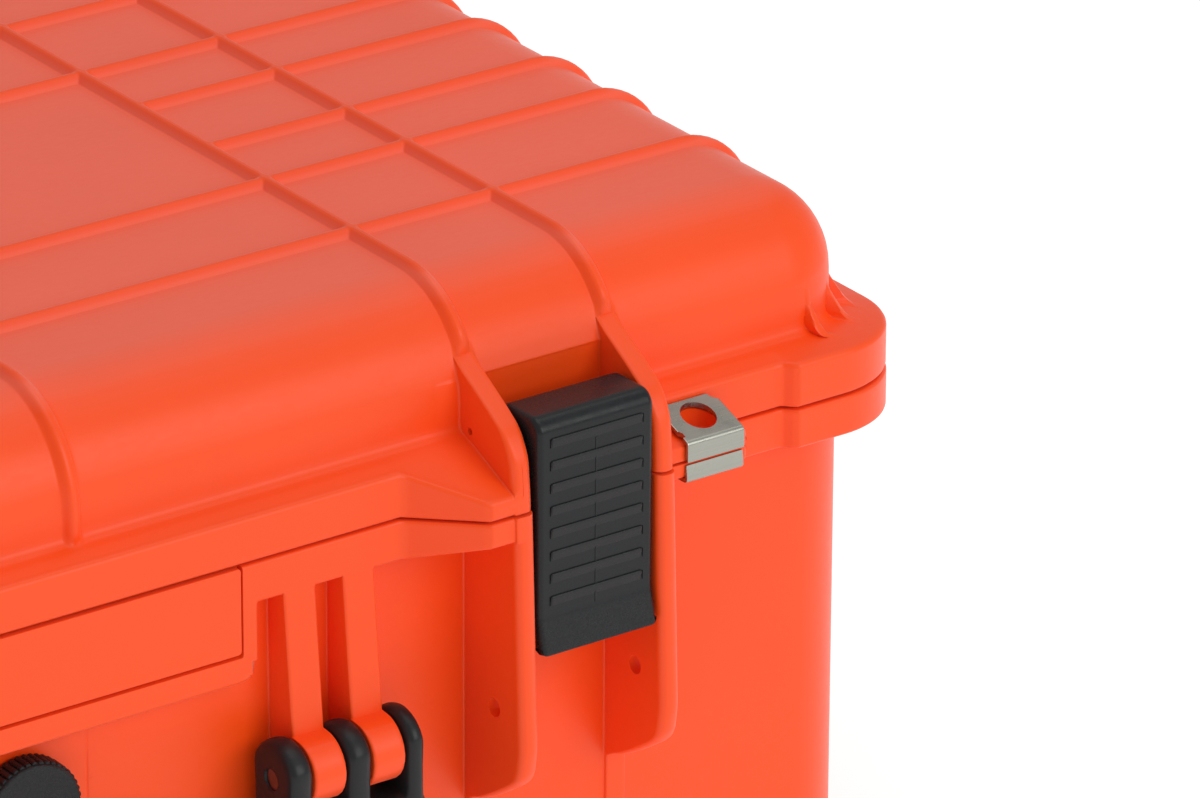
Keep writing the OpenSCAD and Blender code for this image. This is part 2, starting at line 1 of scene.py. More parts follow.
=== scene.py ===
"""Looks of a rugged hard case for first aid supplies, laid out as an add-on and run as a script.

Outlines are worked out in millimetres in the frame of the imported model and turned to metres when
a mesh is made. Heights marked "over the seam" start at the parting line between base and lid.
"""

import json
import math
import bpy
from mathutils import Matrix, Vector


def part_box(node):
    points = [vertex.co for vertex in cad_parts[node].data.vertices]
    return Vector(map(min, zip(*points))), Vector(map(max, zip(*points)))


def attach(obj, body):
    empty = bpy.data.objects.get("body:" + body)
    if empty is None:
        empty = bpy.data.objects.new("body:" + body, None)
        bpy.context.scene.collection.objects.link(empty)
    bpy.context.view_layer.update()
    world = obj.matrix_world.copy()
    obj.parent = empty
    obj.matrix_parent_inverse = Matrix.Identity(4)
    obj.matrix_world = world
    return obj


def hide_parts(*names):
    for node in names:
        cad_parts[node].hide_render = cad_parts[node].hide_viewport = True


bl_info = {
    "name": "First Aid Case",
    "version": (1, 0, 0),
    "blender": (4, 5, 0),
    "location": "3D View > Sidebar > First Aid Case",
    "description": "Builds the shells, latches, handle, valve and contents of a first aid case",
    "category": "Object",
}

import bmesh
import bpy
import numpy as np
from mathutils import Matrix, Vector

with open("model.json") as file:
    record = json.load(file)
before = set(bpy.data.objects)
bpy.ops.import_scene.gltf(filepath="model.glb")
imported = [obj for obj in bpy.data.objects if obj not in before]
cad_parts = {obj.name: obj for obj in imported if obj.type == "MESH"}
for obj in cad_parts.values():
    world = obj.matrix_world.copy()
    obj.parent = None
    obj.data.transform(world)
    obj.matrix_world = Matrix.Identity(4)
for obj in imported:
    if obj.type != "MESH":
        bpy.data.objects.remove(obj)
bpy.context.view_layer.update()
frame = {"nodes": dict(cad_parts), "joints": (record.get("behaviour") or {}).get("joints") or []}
MM = 0.001
JOINTS = {joint["name"]: joint for joint in frame["joints"]}


def node_box(node):
    """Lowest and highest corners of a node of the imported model, in millimetres."""
    return [np.array(corner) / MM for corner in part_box(node)]


def joint_at(name):
    """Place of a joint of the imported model, in millimetres."""
    return np.array(JOINTS[name]["pos_m"]) / MM


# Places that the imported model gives
SEAM = joint_at("lid_hinge")[2]
HINGE_Y = joint_at("lid_hinge")[1]
FLANGE_X = node_box("lid_shell")[1][0]
LEVER_LOW, LEVER_HIGH = node_box("latch_lever_right")
LATCH_X = joint_at("latch_right_swing")[0]
LATCH_PIVOT = joint_at("latch_right_swing")
HANDLE_AT = joint_at("handle_swing")
VALVE_AT = joint_at("vent_knob_turn")

# Shells: reaches from the wall, radii, and half the gap at the seam
WALL = 4.0
CORNER_R = 22.0
FLANGE_R = 25.0
FOOT_R = 8.0
ROLL_R = 27.0
SIDE_ROLL_R = 21.0
FLANGE_REACH = 10.0
FLANGE_TOP = 12.5
FLANGE_LOW = -11.0
SEAM_HALF = 0.35
SEAM_LIP = 0.95
LID_STEP = 2.0
LID_SIDE_STEP = 1.0
LID_TOP = 48.5
BODY_X = FLANGE_X - FLANGE_REACH
BODY_Y = 135.0
LID_X = BODY_X - LID_SIDE_STEP
LID_Y = BODY_Y - LID_STEP

# Latch ears, lid ribs, corner gussets (degrees from the front) and padlock holes
EAR_HALF = 3.0
EAR_OFF = 21.5
EAR_X = (LATCH_X - EAR_OFF, LATCH_X + EAR_OFF)
RIB_Y_LONG = (43.0, 81.6)
RIB_Y_SHORT = 16.3
RIB_X_FRONT = 18.0
GUSSET_TURNS = (12.5, 41.0, 66.0)
LOCK_X = EAR_X[1] + 15.75
PAD_TOP = 28.0

# Front of the base: where the flange runs out, the name panel's frame and its recess
SETBACK_END = (223.0, 226.5)
RAMP_START, RAMP_RUN = 23.6, 16.4
FLANGE_BENDS_X = (107.4, 109, 115, 122, 123.8, 125, 223, 224, 225, 226.5)
FRAME_LOW = -31.6
PANEL_LOW = -24.7
RECESS_X = 60.9
RECESS_TOP = 9.0
PARTING_X = 19.8

# Handle: inner edge of its arms, places of the base's eyes and of its own prongs
HANDLE_INNER = 65.2
HANDLE_BOSS = (94.8, 77.4)
HANDLE_BOSS_HALF = 4.7
HANDLE_PRONG = (103.5, 86.1, 68.7)
EYE_R = 8.5

RIDGE_COUNT, RIDGE_PITCH = 8, 6.1
TOOTH_COUNT, CAP_RIB_COUNT = 46, 54
FULL_TURN = 6.283

# Distances from an edge at which the moulded walls have mesh lines
EDGE_STEPS = (0.015, 0.12, 0.35, 0.7, 1.2, 1.8, 2.6)
ROW_STEPS = (0.02, 0.15, 0.4, 0.9, 1.6)
RIB_STEPS = (0.0, 0.5, 1.0, 1.5, 2.0, 2.5, 3.0, 3.8)
GUSSET_STEPS = (1.0, 2.0, 2.8, 3.6, 4.4, 5.2, 6.2)
EAR_EDGES_X = [centre + s * EAR_HALF for centre in EAR_X for s in (-1, 1)] + [LOCK_X + 10.8]

# CAD nodes that a piece made here stands for
STOOD_FOR = set()


# ---------------------------------------------------------------- outlines and meshes


def linked(name, data):
    """A new object of that name in the scene."""
    obj = bpy.data.objects.new(name, data)
    bpy.context.scene.collection.objects.link(obj)
    return obj


def smoothed(obj):
    """The object with all its faces shaded smooth."""
    obj.data.polygons.foreach_set("use_smooth", [True] * len(obj.data.polygons))
    return obj


def new_object(name, verts, faces, smooth=True, weld=0.0):
    """Object at the origin from points in millimetres; weld merges points closer than that."""
    mesh = bpy.data.meshes.new(name)
    mesh.from_pydata((np.asarray(verts, float) * MM).tolist(), [], faces)
    if weld:
        work = bmesh.new()
        work.from_mesh(mesh)
        bmesh.ops.remove_doubles(work, verts=work.verts, dist=weld * MM)
        bmesh.ops.dissolve_degenerate(work, edges=work.edges, dist=weld * MM * 0.5)
        work.to_mesh(mesh)
        work.free()
    mesh.validate()
    mesh.polygons.foreach_set("use_smooth", [smooth] * len(mesh.polygons))
    return linked(name, mesh)


def grid_faces(rows, cols, start=0, loop=False, flip=False):
    """Quads over a grid of points that is stored row by row."""
    last = cols if loop else cols - 1
    faces = []
    for i in range(rows - 1):
        for j in range(last):
            k = (j + 1) % cols
            here, above = start + i * cols, start + (i + 1) * cols
            quad = (here + j, here + k, above + k, above + j)
            faces.append(quad[::-1] if flip else quad)
    return faces


def arc(cx, cy, r, a0, a1, n):
    """Points on an arc, in degrees, both ends included."""
    a = np.radians(np.linspace(a0, a1, n))
    return np.stack([cx + r * np.cos(a), cy + r * np.sin(a)], 1)


def box_outline(x0, y0, x1, y1, r, n=5):
    """Rectangle with round corners, counter-clockwise."""
    return np.concatenate([
        arc(x1 - r, y0 + r, r, -90, 0, n), arc(x1 - r, y1 - r, r, 0, 90, n),
        arc(x0 + r, y1 - r, r, 90, 180, n), arc(x0 + r, y0 + r, r, 180, 270, n)])


def rounded(points, radii, n=5):
    """Closed outline through the given corners, each rounded by its own radius."""
    points = np.asarray(points, float)
    out = []
    for i, p in enumerate(points):
        before, after = points[i - 1], points[(i + 1) % len(points)]
        u, v = (before - p), (after - p)
        lu, lv = np.linalg.norm(u), np.linalg.norm(v)
        u, v = u / lu, v / lv
        half = math.acos(np.clip(np.dot(u, v), -1, 1)) / 2
        r = radii[i] if not np.isscalar(radii) else radii
        cut = min(r / math.tan(half), lu * 0.48, lv * 0.48) if half < 1.55 else 0
        if cut < 1e-3:
            out.append(p)
            continue
        for t in np.linspace(0, 1, n):
            a, b = p + u * cut, p + v * cut
            out.append((1 - t) ** 2 * a + 2 * t * (1 - t) * p + t * t * b)
    return np.array(out)


def outward(outline):
    """Unit normals of a closed counter-clockwise outline."""
    ahead = np.roll(outline, -1, 0) - outline
    back = outline - np.roll(outline, 1, 0)
    ahead /= np.maximum(np.linalg.norm(ahead, axis=1), 1e-9)[:, None]
    back /= np.maximum(np.linalg.norm(back, axis=1), 1e-9)[:, None]
    t = ahead + back
    t /= np.maximum(np.linalg.norm(t, axis=1), 1e-9)[:, None]
    return np.stack([t[:, 1], -t[:, 0]], 1)


def counter_clockwise(outline):
    """The closed outline in counter-clockwise order."""
    outline = np.asarray(outline, float)
    ahead = np.roll(outline, -1, 0)
    area = np.sum(outline[:, 0] * ahead[:, 1] - ahead[:, 0] * outline[:, 1])
    return outline if area > 0 else outline[::-1]


def swept(outline, low, high, edge, axis="x", steps=4):
    """Verts and faces of an outline run between two ends, its end edges rounded by edge.

    axis "x" takes the outline as (y, z), "y" as (x, z) and "z" as (x, y).
    """
    normals = outward(outline)
    turn = np.radians(np.linspace(0, 90, steps))
    stations = [(low + edge * (1 - math.cos(a)), edge * (1 - math.sin(a))) for a in turn]
    stations += [(high - edge * (1 - math.cos(a)), edge * (1 - math.sin(a))) for a in turn[::-1]]
    rings = []
    for place, inset in stations:
        ring = outline - normals * inset
        along = np.full(len(ring), place)
        columns = {"x": (along, ring[:, 0], ring[:, 1]), "y": (ring[:, 0], along, ring[:, 1]),
                   "z": (ring[:, 0], ring[:, 1], along)}[axis]
        rings.append(np.stack(columns, 1))
    n = len(outline)
    flip = axis == "y"
    faces = grid_faces(len(rings), n, loop=True, flip=flip)
    first, last = list(range(n)), list(range((len(rings) - 1) * n, len(rings) * n))
    faces += [first, last[::-1]] if flip else [first[::-1], last]
    return np.concatenate(rings), faces


def merged(parts):
    """One list of verts and faces from several."""
    verts, faces, start = [], [], 0
    for points, polys in parts:
        verts.append(np.asarray(points, float))
        faces += [tuple(i + start for i in poly) for poly in polys]
        start += len(points)
    return np.concatenate(verts), faces


def mirrored(part):
    """The same part on the other side of the case."""
    points, faces = part
    return np.asarray(points) * (-1, 1, 1), [tuple(f)[::-1] for f in faces]


def lathe(profile, centre, axis="z", steps=64):
    """Verts and faces of a profile of (radius, place along the axis) turned about an axis."""
    turn = np.linspace(0, 2 * math.pi, steps, endpoint=False)
    rings = []
    for r, s in profile:
        u, v, w = r * np.cos(turn), r * np.sin(turn), np.full(steps, float(s))
        rings.append(np.stack({"z": (u, v, w), "y": (u, w, -v), "x": (w, u, v)}[axis], 1) + centre)
    faces = grid_faces(len(rings), steps, loop=True)
    faces += [tuple(range(steps))[::-1], tuple(range((len(rings) - 1) * steps, len(rings) * steps))]
    return np.concatenate(rings), faces


def closed_lathe(profile, centre, steps):
    """Verts and faces of a closed profile turned about Z, as round a hole."""
    points, faces = lathe(profile, centre, "z", steps)
    last = (len(profile) - 1) * steps
    ends = [(last + j, last + (j + 1) % steps, (j + 1) % steps, j) for j in range(steps)]
    return points, faces[:-2] + ends


def as_mesh(obj, name):
    """The evaluated object as a plain mesh object of the given name; the old one goes."""
    depsgraph = bpy.context.evaluated_depsgraph_get()
    mesh = bpy.data.meshes.new_from_object(obj.evaluated_get(depsgraph))
    mesh.name = name
    bpy.data.objects.remove(obj)
    return linked(name, mesh)


def cut_by(obj, cutter, name):
    """The object less the cutter, as a plain mesh object."""
    boolean = obj.modifiers.new("cut", "BOOLEAN")
    boolean.operation = "DIFFERENCE"
    boolean.solver = "EXACT"
    boolean.object = cutter
    out = as_mesh(obj, name)
    bpy.data.objects.remove(cutter)
    return out


def joined(objects, name):
    """One mesh object from several, their materials kept."""
    work = bmesh.new()
    materials = []
    for obj in objects:
        offset = len(materials)
        materials += [slot.material for slot in obj.material_slots]
        before = len(work.faces)
        work.from_mesh(obj.data)
        work.faces.ensure_lookup_table()
        for face in work.faces[before:]:
            face.material_index += offset
        bpy.data.objects.remove(obj)
    mesh = bpy.data.meshes.new(name)
    work.to_mesh(mesh)
    work.free()
    unique = list(dict.fromkeys(materials))
    for material in unique:
        mesh.materials.append(material)
    if unique:
        index = [unique.index(materials[p.material_index]) for p in mesh.polygons]
        mesh.polygons.foreach_set("material_index", index)
    return linked(name, mesh)


def fix_normals(obj):
    """Turns the faces of a closed mesh outwards."""
    work = bmesh.new()
    work.from_mesh(obj.data)
    bmesh.ops.remove_doubles(work, verts=work.verts, dist=1e-6)
    bmesh.ops.recalc_face_normals(work, faces=work.faces)
    work.to_mesh(obj.data)
    work.free()


def mirror_mesh(obj):
    """Moves a mesh to the other side of the case and turns its faces outwards again."""
    obj.data.transform(Matrix.Scale(-1, 4, (1, 0, 0)))
    obj.data.flip_normals()


def flat_faces_first(obj):
    """Weights normals by area, so that flats stay flat beside their rounded edges."""
    obj.data.set_sharp_from_angle(angle=math.radians(48))
    weighted = obj.modifiers.new("flats", "WEIGHTED_NORMAL")
    weighted.weight = 60
    weighted.keep_sharp = True


def placed(obj, body, slot, material, *nodes):
    """Gives a piece its material, its body and the nodes that it stands for."""
    obj.data.materials.clear()
    obj.data.materials.append(material)
    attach(obj, body)
    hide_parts(*nodes)
    STOOD_FOR.update(nodes)


# ---------------------------------------------------------------- relief on moulded walls


def near(edges, ends, step, beside=EDGE_STEPS):
    """Stations between the ends: dense at each edge and nowhere further apart than step."""
    stations = [ends[0], ends[1]]
    for edge in edges:
        stations += [edge + s * d for d in beside for s in (-1, 1)]
    stations = np.unique(np.round([s for s in stations if ends[0] <= s <= ends[1]], 4))
    out = [stations[0]]
    for s in stations[1:]:
        gap = s - out[-1]
        extra = int(gap // step)
        out += [out[-1] + gap * (k + 1) / (extra + 1) for k in range(extra)]
        out.append(s)
    return np.array(out)


def thinned(stations, least=0.01):
    """The stations without those that lie closer than least to the one before."""
    out = [stations[0]]
    for s in stations[1:]:
        if s - out[-1] > least:
            out.append(s)
    out[-1] = stations[-1]
    return np.array(out)


def both(values):
    """The values and their mirror images."""
    return [s * v for v in values for s in (-1, 1)]


def smooth_step(x, x0, x1):
    """0 below x0, 1 above x1, and an even S between."""
    t = np.clip((x - x0) / (x1 - x0), 0, 1)
    return t * t * (3 - 2 * t)


def soft(x, xs, ys, blur):
    """Broken line through the points with its corners eased over blur."""
    return sum(np.interp(x + k * blur / 3, xs, ys) for k in (-3, -2, -1, 0, 1, 2, 3)) / 7


def raised(base, top, s, over, foot):
    """Surface after a feature is added: s is the distance outside its outline, negative inside.

    over rounds its top edge and foot fillets where it meets the base.
    """
    rise = np.maximum(top - base, 0)
    over = np.minimum(over, rise * 0.55)
    foot = np.minimum(foot, rise * 0.45)
    inside = top - over + np.sqrt(np.maximum(over**2 - np.clip(s + over, 0, over) ** 2, 0))
    beside = base + foot - np.sqrt(np.maximum(foot**2 - np.clip(foot - s, 0, foot) ** 2, 0))
    return np.where(rise <= 0, base, np.where(s < 0, np.maximum(inside, base), beside))


def bell(s, half, height):
    """Cross-section of a moulded rib: a round crest that flows into the wall."""
    t = np.clip(np.abs(s) / half, 0, 1)
    return height * (1 - t**2.4) ** 1.5


def row_lists(n):
    """Empty lists for a profile's offsets and heights, and the function that adds a row to both."""
    d, z = [], []

    def row(offset, height):
        d.append(np.broadcast_to(offset, n))
        z.append(np.broadcast_to(height, n))

    return d, z, row


def rim_radius(d, inner_zero):
    """Plan radius of the corner at an offset from the wall: 0 at inner_zero, larger outwards."""
    inside = CORNER_R * (1 - d / inner_zero)
    outside = CORNER_R + d * (FLANGE_R - CORNER_R) / 12
    return np.where(d < 0, inside, outside)


def ring_points(half_x, half_y, stations_x, stations_y, stations_back, profile, inner_zero, turns):
    """Points round a shell, row by row, from the profile that each side or corner has.

    profile(side, along) gives the offset from the wall and the height for every row and station;
    side is front, right, back, left or corner, and a corner's stations are angles from the front
    or back to the side. Returns rows x columns x 3.
    """
    places = {"front": stations_x, "right": stations_y, "back": stations_back, "left": stations_y}
    sides = [profile(name, stations) for name, stations in places.items()]
    front_d, side_d = sides[0][0][:, -1], sides[1][0][:, 0]
    r = rim_radius(front_d, inner_zero)
    end_x, end_y = half_x + side_d - r, half_y + front_d - r
    corner_d, corner_z = profile("corner", turns)
    corner_d = corner_d - front_d[:, None] * np.cos(turns) ** 2 - side_d[:, None] * np.sin(turns) ** 2
    blocks = []
    for side, ((d, z), stations) in enumerate(zip(sides, places.values())):
        across = side % 2 == 0
        end, half = (end_x, half_y) if across else (end_y, half_x)
        along = np.broadcast_to(stations, d.shape).copy()
        along[:, 0], along[:, -1] = -end, end
        out = half + d
        x, y = ((along, -out), (out, along), (-along, out), (-out, -along))[side]
        blocks.append(np.stack([x, y, z + SEAM], 2))
        order = slice(None) if across else slice(None, None, -1)
        out = r[:, None] + corner_d[:, order]
        sx, sy = ((1, -1), (1, 1), (-1, 1), (-1, -1))[side]
        x = sx * (end_x[:, None] + out * np.sin(turns[order]))
        y = sy * (end_y[:, None] + out * np.cos(turns[order]))
        blocks.append(np.stack([x, y, corner_z[:, order] + SEAM], 2))
    return np.concatenate(blocks, 1)


# ---------------------------------------------------------------- materials


class NodePen:
    """Short calls for building one node tree."""

    def __init__(self, tree):
        self.tree = tree

    def add(self, kind, inputs=None, **settings):
        node = self.tree.nodes.new(kind)
        for key, value in settings.items():
            setattr(node, key, value)
        for key, value in (inputs or {}).items():
            socket = node.inputs[key]
            if isinstance(value, bpy.types.NodeSocket):
                self.tree.links.new(value, socket)
            else:
                socket.default_value = value
        return node


def material_pen(name):
    """A material with its tree emptied, the pen for it and its place coordinates."""
    material = bpy.data.materials.new(name)
    material.use_nodes = True
    material.node_tree.nodes.clear()
    pen = NodePen(material.node_tree)
    place = pen.add("ShaderNodeTexCoord").outputs["Object"]
    return material, pen, place


def finished(material, pen, inputs):
    """The material, its tree closed with a shader that has these inputs."""
    shader = pen.add("ShaderNodeBsdfPrincipled", inputs)
    pen.add("ShaderNodeOutputMaterial", {"Surface": shader.outputs[0]})
    return material


def noise(pen, place, scale, detail=3.0, rough=0.55):
    """Noise node on the place coordinates."""
    return pen.add("ShaderNodeTexNoise", {"Vector": place, "Scale": scale, "Detail": detail,
                                          "Roughness": rough})


def spread(pen, value, low, high, out_low, out_high):
    """The value carried from one range to another and held at its ends."""
    return pen.add("ShaderNodeMapRange", {"Value": value, "From Min": low, "From Max": high,
                                          "To Min": out_low, "To Max": out_high}).outputs["Result"]


def shade(pen, colour, factor, amount):
    """The colour, darkened and lightened by amount as the factor runs from 0 to 1."""
    value = spread(pen, factor, 0.25, 0.75, 1 - amount, 1 + amount)
    return pen.add("ShaderNodeHueSaturation", {"Color": colour, "Value": value}).outputs["Color"]


def bumps(pen, parts):
    """Bump from several heights, each with its strength and its depth in metres."""
    normal = None
    for height, strength, depth in parts:
        inputs = {"Height": height, "Strength": strength, "Distance": depth}
        if normal is not None:
            inputs["Normal"] = normal
        normal = pen.add("ShaderNodeBump", inputs).outputs["Normal"]
    return normal


def moulded_plastic(name, colour, rough=(0.36, 0.5), grain=700.0, grain_depth=0.00004, tone=0.03,
                    specular=0.5, haze=0.0, rough_below=None, painted_sheen_at=None):
    """Injection moulded plastic: faint flow tone, a fine grain and scuffs that change its gloss.

    haze whitens it at a low angle. Heights are in metres: the grain is coarse under rough_below,
    and the level faces at painted_sheen_at are paler with a painted sheen, but not what stands up from them.
    """
    material, pen, place = material_pen(name)
    flow = noise(pen, place, 9.0, 2.0)
    cloud = noise(pen, place, 46.0, 4.0)
    fine = noise(pen, place, grain, 2.0)
    stretched = pen.add("ShaderNodeMapping", {"Vector": place, "Scale": (30.0, 75.0, 60.0),
                                              "Rotation": (0.4, 0.2, 0.7)}).outputs[0]
    scuff = noise(pen, stretched, 9.0, 5.0, 0.7)
    base = shade(pen, colour, flow.outputs["Fac"], tone)
    base = shade(pen, base, cloud.outputs["Fac"], tone * 0.5)
    # Painted sheen: the level top faces are made paler. This stands in for the white surround's reflection at
    # a low angle.
    if painted_sheen_at is not None:
        up = pen.add("ShaderNodeSeparateXYZ", {"Vector": place}).outputs["Z"]
        below = spread(pen, up, painted_sheen_at - 0.004, painted_sheen_at - 0.0002, 1.0, 0.95)
        above = spread(pen, up, painted_sheen_at + 0.0006, painted_sheen_at + 0.0018, 0.0, 0.05)
        kept = pen.add("ShaderNodeMath", {0: below, 1: above}, operation="ADD").outputs[0]
        base = pen.add("ShaderNodeHueSaturation", {"Color": base, "Saturation": kept}).outputs["Color"]
    gloss = spread(pen, scuff.outputs["Fac"], 0.3, 0.72, rough[0], rough[1])
    layers = [(cloud.outputs["Fac"], 0.12, 0.0003), (fine.outputs["Fac"], 0.35, grain_depth)]
    if rough_below is not None:
        up = pen.add("ShaderNodeSeparateXYZ", {"Vector": place}).outputs["Z"]
        mask = spread(pen, up, rough_below - 0.004, rough_below, 1.0, 0.0)
        pits = noise(pen, place, 1500.0, 3.0, 0.7)
        coarse = pen.add("ShaderNodeMath", {0: pits.outputs["Fac"], 1: mask},
                         operation="MULTIPLY").outputs[0]
        layers.append((coarse, 0.9, 0.0004))
    normal = bumps(pen, layers)
    return finished(material, pen, {"Base Color": base, "Roughness": gloss, "Normal": normal, "IOR": 1.43,
                                    "Specular IOR Level": specular, "Sheen Weight": haze,
                                    "Sheen Roughness": 0.4})


def satin_steel(name, colour, rough=(0.2, 0.36), along=(4.0, 900.0, 900.0)):
    """Stainless sheet with a fine brushed line and soft blotches."""
    material, pen, place = material_pen(name)
    line_place = pen.add("ShaderNodeMapping", {"Vector": place, "Scale": along}).outputs[0]
    line = noise(pen, line_place, 3.0, 3.0)
    blotch = noise(pen, place, 120.0, 3.0)
    base = shade(pen, colour, line.outputs["Fac"], 0.06)
    gloss = spread(pen, blotch.outputs["Fac"], 0.3, 0.7, rough[0], rough[1])
    normal = bumps(pen, ((line.outputs["Fac"], 0.25, 0.00003), (blotch.outputs["Fac"], 0.1, 0.0001)))
    return finished(material, pen, {"Base Color": base, "Roughness": gloss, "Normal": normal,
                                    "Metallic": 1.0})


def soft_rubber(name, colour, rough=(0.55, 0.75), grain=900.0, depth=0.0001):
    """Matte rubber with a fine grain."""
    return moulded_plastic(name, colour, rough, grain, depth, 0.06, 0.35)


def open_foam(name, colour):
    """Open-cell foam: pores darkened with painted shade over a matte ground."""
    material, pen, place = material_pen(name)
    pores = pen.add("ShaderNodeTexVoronoi", {"Vector": place, "Scale": 620.0})
    lumps = noise(pen, place, 60.0, 4.0)
    # Painted shade: the colour is darkened in each pore, where shade falls in its hollow.
    hole = spread(pen, pores.outputs["Distance"], 0.15, 0.6, 0.45, 1.15)
    base = pen.add("ShaderNodeHueSaturation", {"Color": colour, "Value": hole}).outputs["Color"]
    base = shade(pen, base, lumps.outputs["Fac"], 0.12)
    normal = bumps(pen, ((pores.outputs["Distance"], 0.7, 0.0008), (lumps.outputs["Fac"], 0.3, 0.001)))
    return finished(material, pen, {"Base Color": base, "Roughness": 0.95, "Normal": normal,
                                    "Specular IOR Level": 0.15})


def woven(name, colour, threads=900.0, depth=0.0002, rough=0.85, tone=0.15, sheen=0.3):
    """Plain weave on place coordinates: crossed threads with slight colour changes."""
    material, pen, place = material_pen(name)
    waves = {"Scale": threads / FULL_TURN, "Distortion": 0.6, "Detail": 1.0}
    warp = pen.add("ShaderNodeTexWave", {"Vector": place, **waves}, bands_direction="X")
    turned = pen.add("ShaderNodeMapping", {"Vector": place, "Rotation": (math.radians(90), 0, 0)}).outputs[0]
    weft = pen.add("ShaderNodeTexWave", {"Vector": turned, **waves}, bands_direction="DIAGONAL")
    cross = pen.add("ShaderNodeMath", {0: warp.outputs["Fac"], 1: weft.outputs["Fac"]},
                    operation="MAXIMUM").outputs[0]
    fuzz = noise(pen, place, 240.0, 4.0)
    base = shade(pen, colour, cross, tone)
    base = shade(pen, base, fuzz.outputs["Fac"], tone * 0.5)
    normal = bumps(pen, ((cross, 0.6, depth), (fuzz.outputs["Fac"], 0.3, depth)))
    return finished(material, pen, {"Base Color": base, "Roughness": rough, "Normal": normal,
                                    "Sheen Weight": sheen, "Specular IOR Level": 0.2})


def thin_wrap(name, colour, rough=(0.35, 0.6), crease=60.0):
    """Paper or film wrapper with shallow creases."""
    material, pen, place = material_pen(name)
    fold = pen.add("ShaderNodeTexVoronoi", {"Vector": place, "Scale": crease}, feature="DISTANCE_TO_EDGE")
    fibre = noise(pen, place, 800.0, 3.0)
    cloud = noise(pen, place, 30.0, 4.0)
    base = shade(pen, colour, cloud.outputs["Fac"], 0.05)
    gloss = spread(pen, fibre.outputs["Fac"], 0.3, 0.7, rough[0], rough[1])
    ridge = spread(pen, fold.outputs["Distance"], 0.0, 0.12, 0.0, 1.0)
    normal = bumps(pen, ((ridge, 0.25, 0.0006), (cloud.outputs["Fac"], 0.5, 0.002),
                         (fibre.outputs["Fac"], 0.2, 0.00005)))
    return finished(material, pen, {"Base Color": base, "Roughness": gloss, "Normal": normal})


FINISHES = {}


def finish(key):
    """The finish of that name, made once from the colours in the panel."""
    colours = bpy.context.scene.first_aid_colours
    makers = {
        # The shell's level top is paler with a painted sheen.
        "shell": lambda: moulded_plastic("shell_plastic", colours.shell, (0.37, 0.46), haze=0.12,
                                         painted_sheen_at=(SEAM + LID_TOP) * MM),
        "black": lambda: moulded_plastic("latch_plastic", colours.fittings, (0.2, 0.4), 520.0, 0.00007,
                                         0.08, 0.31, rough_below=(SEAM - 29) * MM),
        "handle": lambda: moulded_plastic("handle_plastic", colours.fittings, (0.3, 0.44), 520.0, 0.00006,
                                          0.08, 0.34),
        "grip": lambda: soft_rubber("grip_rubber", colours.rubber),
        "rubber": lambda: soft_rubber("seal_rubber", colours.rubber),
        "plate": lambda: satin_steel("plate_steel", colours.steel),
        "pin": lambda: satin_steel("pin_steel", (0.16, 0.16, 0.17, 1), (0.3, 0.45),
                                   (900.0, 300.0, 300.0)),
        "foam": lambda: open_foam("foam", colours.foam),
        "divider": lambda: woven("divider_fabric", colours.foam),
        "gauze": lambda: woven("bandage_fabric", colours.gauze, 1100.0, 0.0004, 0.9, 0.12),
        "tape": lambda: woven("tape_fabric", colours.gauze, 1500.0, 0.0001, 0.8, 0.08),
        "wrapper": lambda: thin_wrap("wrapper_paper", colours.wrapper),
        "bottle": lambda: moulded_plastic("bottle_plastic", (0.9, 0.91, 0.91, 1), (0.22, 0.32), 300.0,
                                          0.00002, 0.02),
        "cap": lambda: moulded_plastic("cap_plastic", colours.cap, (0.25, 0.35), 400.0, 0.00002, 0.04),
        "pack": lambda: thin_wrap("pack_plastic", colours.pack, (0.16, 0.3), 34.0),
    }
    if key not in FINISHES:
        FINISHES[key] = makers[key]()
    return FINISHES[key]


# ---------------------------------------------------------------- the lid


def ear_ramp(a):
    """How far, from 0 to 1, the front flange has run out towards the inner ear at a place along x."""
    start = EAR_X[0] - EAR_HALF - RAMP_START
    return np.clip((a - start) / RAMP_RUN, 0, 1) * (a < EAR_X[0])


def lid_reach(x, sizes):
    """Reach of the lid's front flange from its wall, and the height of its top edge, along x."""
    a = np.abs(x)
    setback = FLANGE_REACH + LID_STEP - sizes.setback / MM
    reach = setback + (FLANGE_REACH + LID_STEP - setback) * smooth_step(a, *SETBACK_END)
    ramp = ear_ramp(a)
    reach = reach + (24.0 - setback) * ramp
    slot = (a > EAR_X[0]) & (a < EAR_X[1])
    return np.where(slot, 5.0, reach), np.where(slot, FLANGE_TOP, FLANGE_TOP - 6.7 * ramp)


def lid_ear_front(z):
    """How far the lid's ears stand out from its wall at a height over the seam."""
    return soft(z, (0, 6.5, 14.3, 21, 26, 33, 36, 50), (24.0, 23.7, 22.4, 18.0, 9.5, -2.4, -9.0, -60.0), 2.4)


def lid_ribs_over(x, y, height, half):
    """Height of the ribs over the lid's top, or along one of its sides, at plan places x and y."""
    lines = [bell(y - s * v, half, height * 0.92) for v in RIB_Y_LONG for s in (-1, 1)]
    outside = smooth_step(np.abs(x), EAR_X[0] - 1.0, EAR_X[0] + 1.0)
    lines += [bell(y - s * RIB_Y_SHORT, half, height * 0.92) * outside for s in (-1, 1)]
    lines += [bell(x - s * v, half, height) for v in EAR_X for s in (-1, 1)]
    front = 1 - smooth_step(y, -RIB_Y_LONG[1] - 1.0, -RIB_Y_LONG[1] + 1.0)
    lines += [bell(x - s * RIB_X_FRONT, half, height * 0.9) * front for s in (-1, 1)]
    total = sum(np.maximum(line, 0) ** 6 for line in lines)
    return np.minimum(total ** (1 / 6), height)


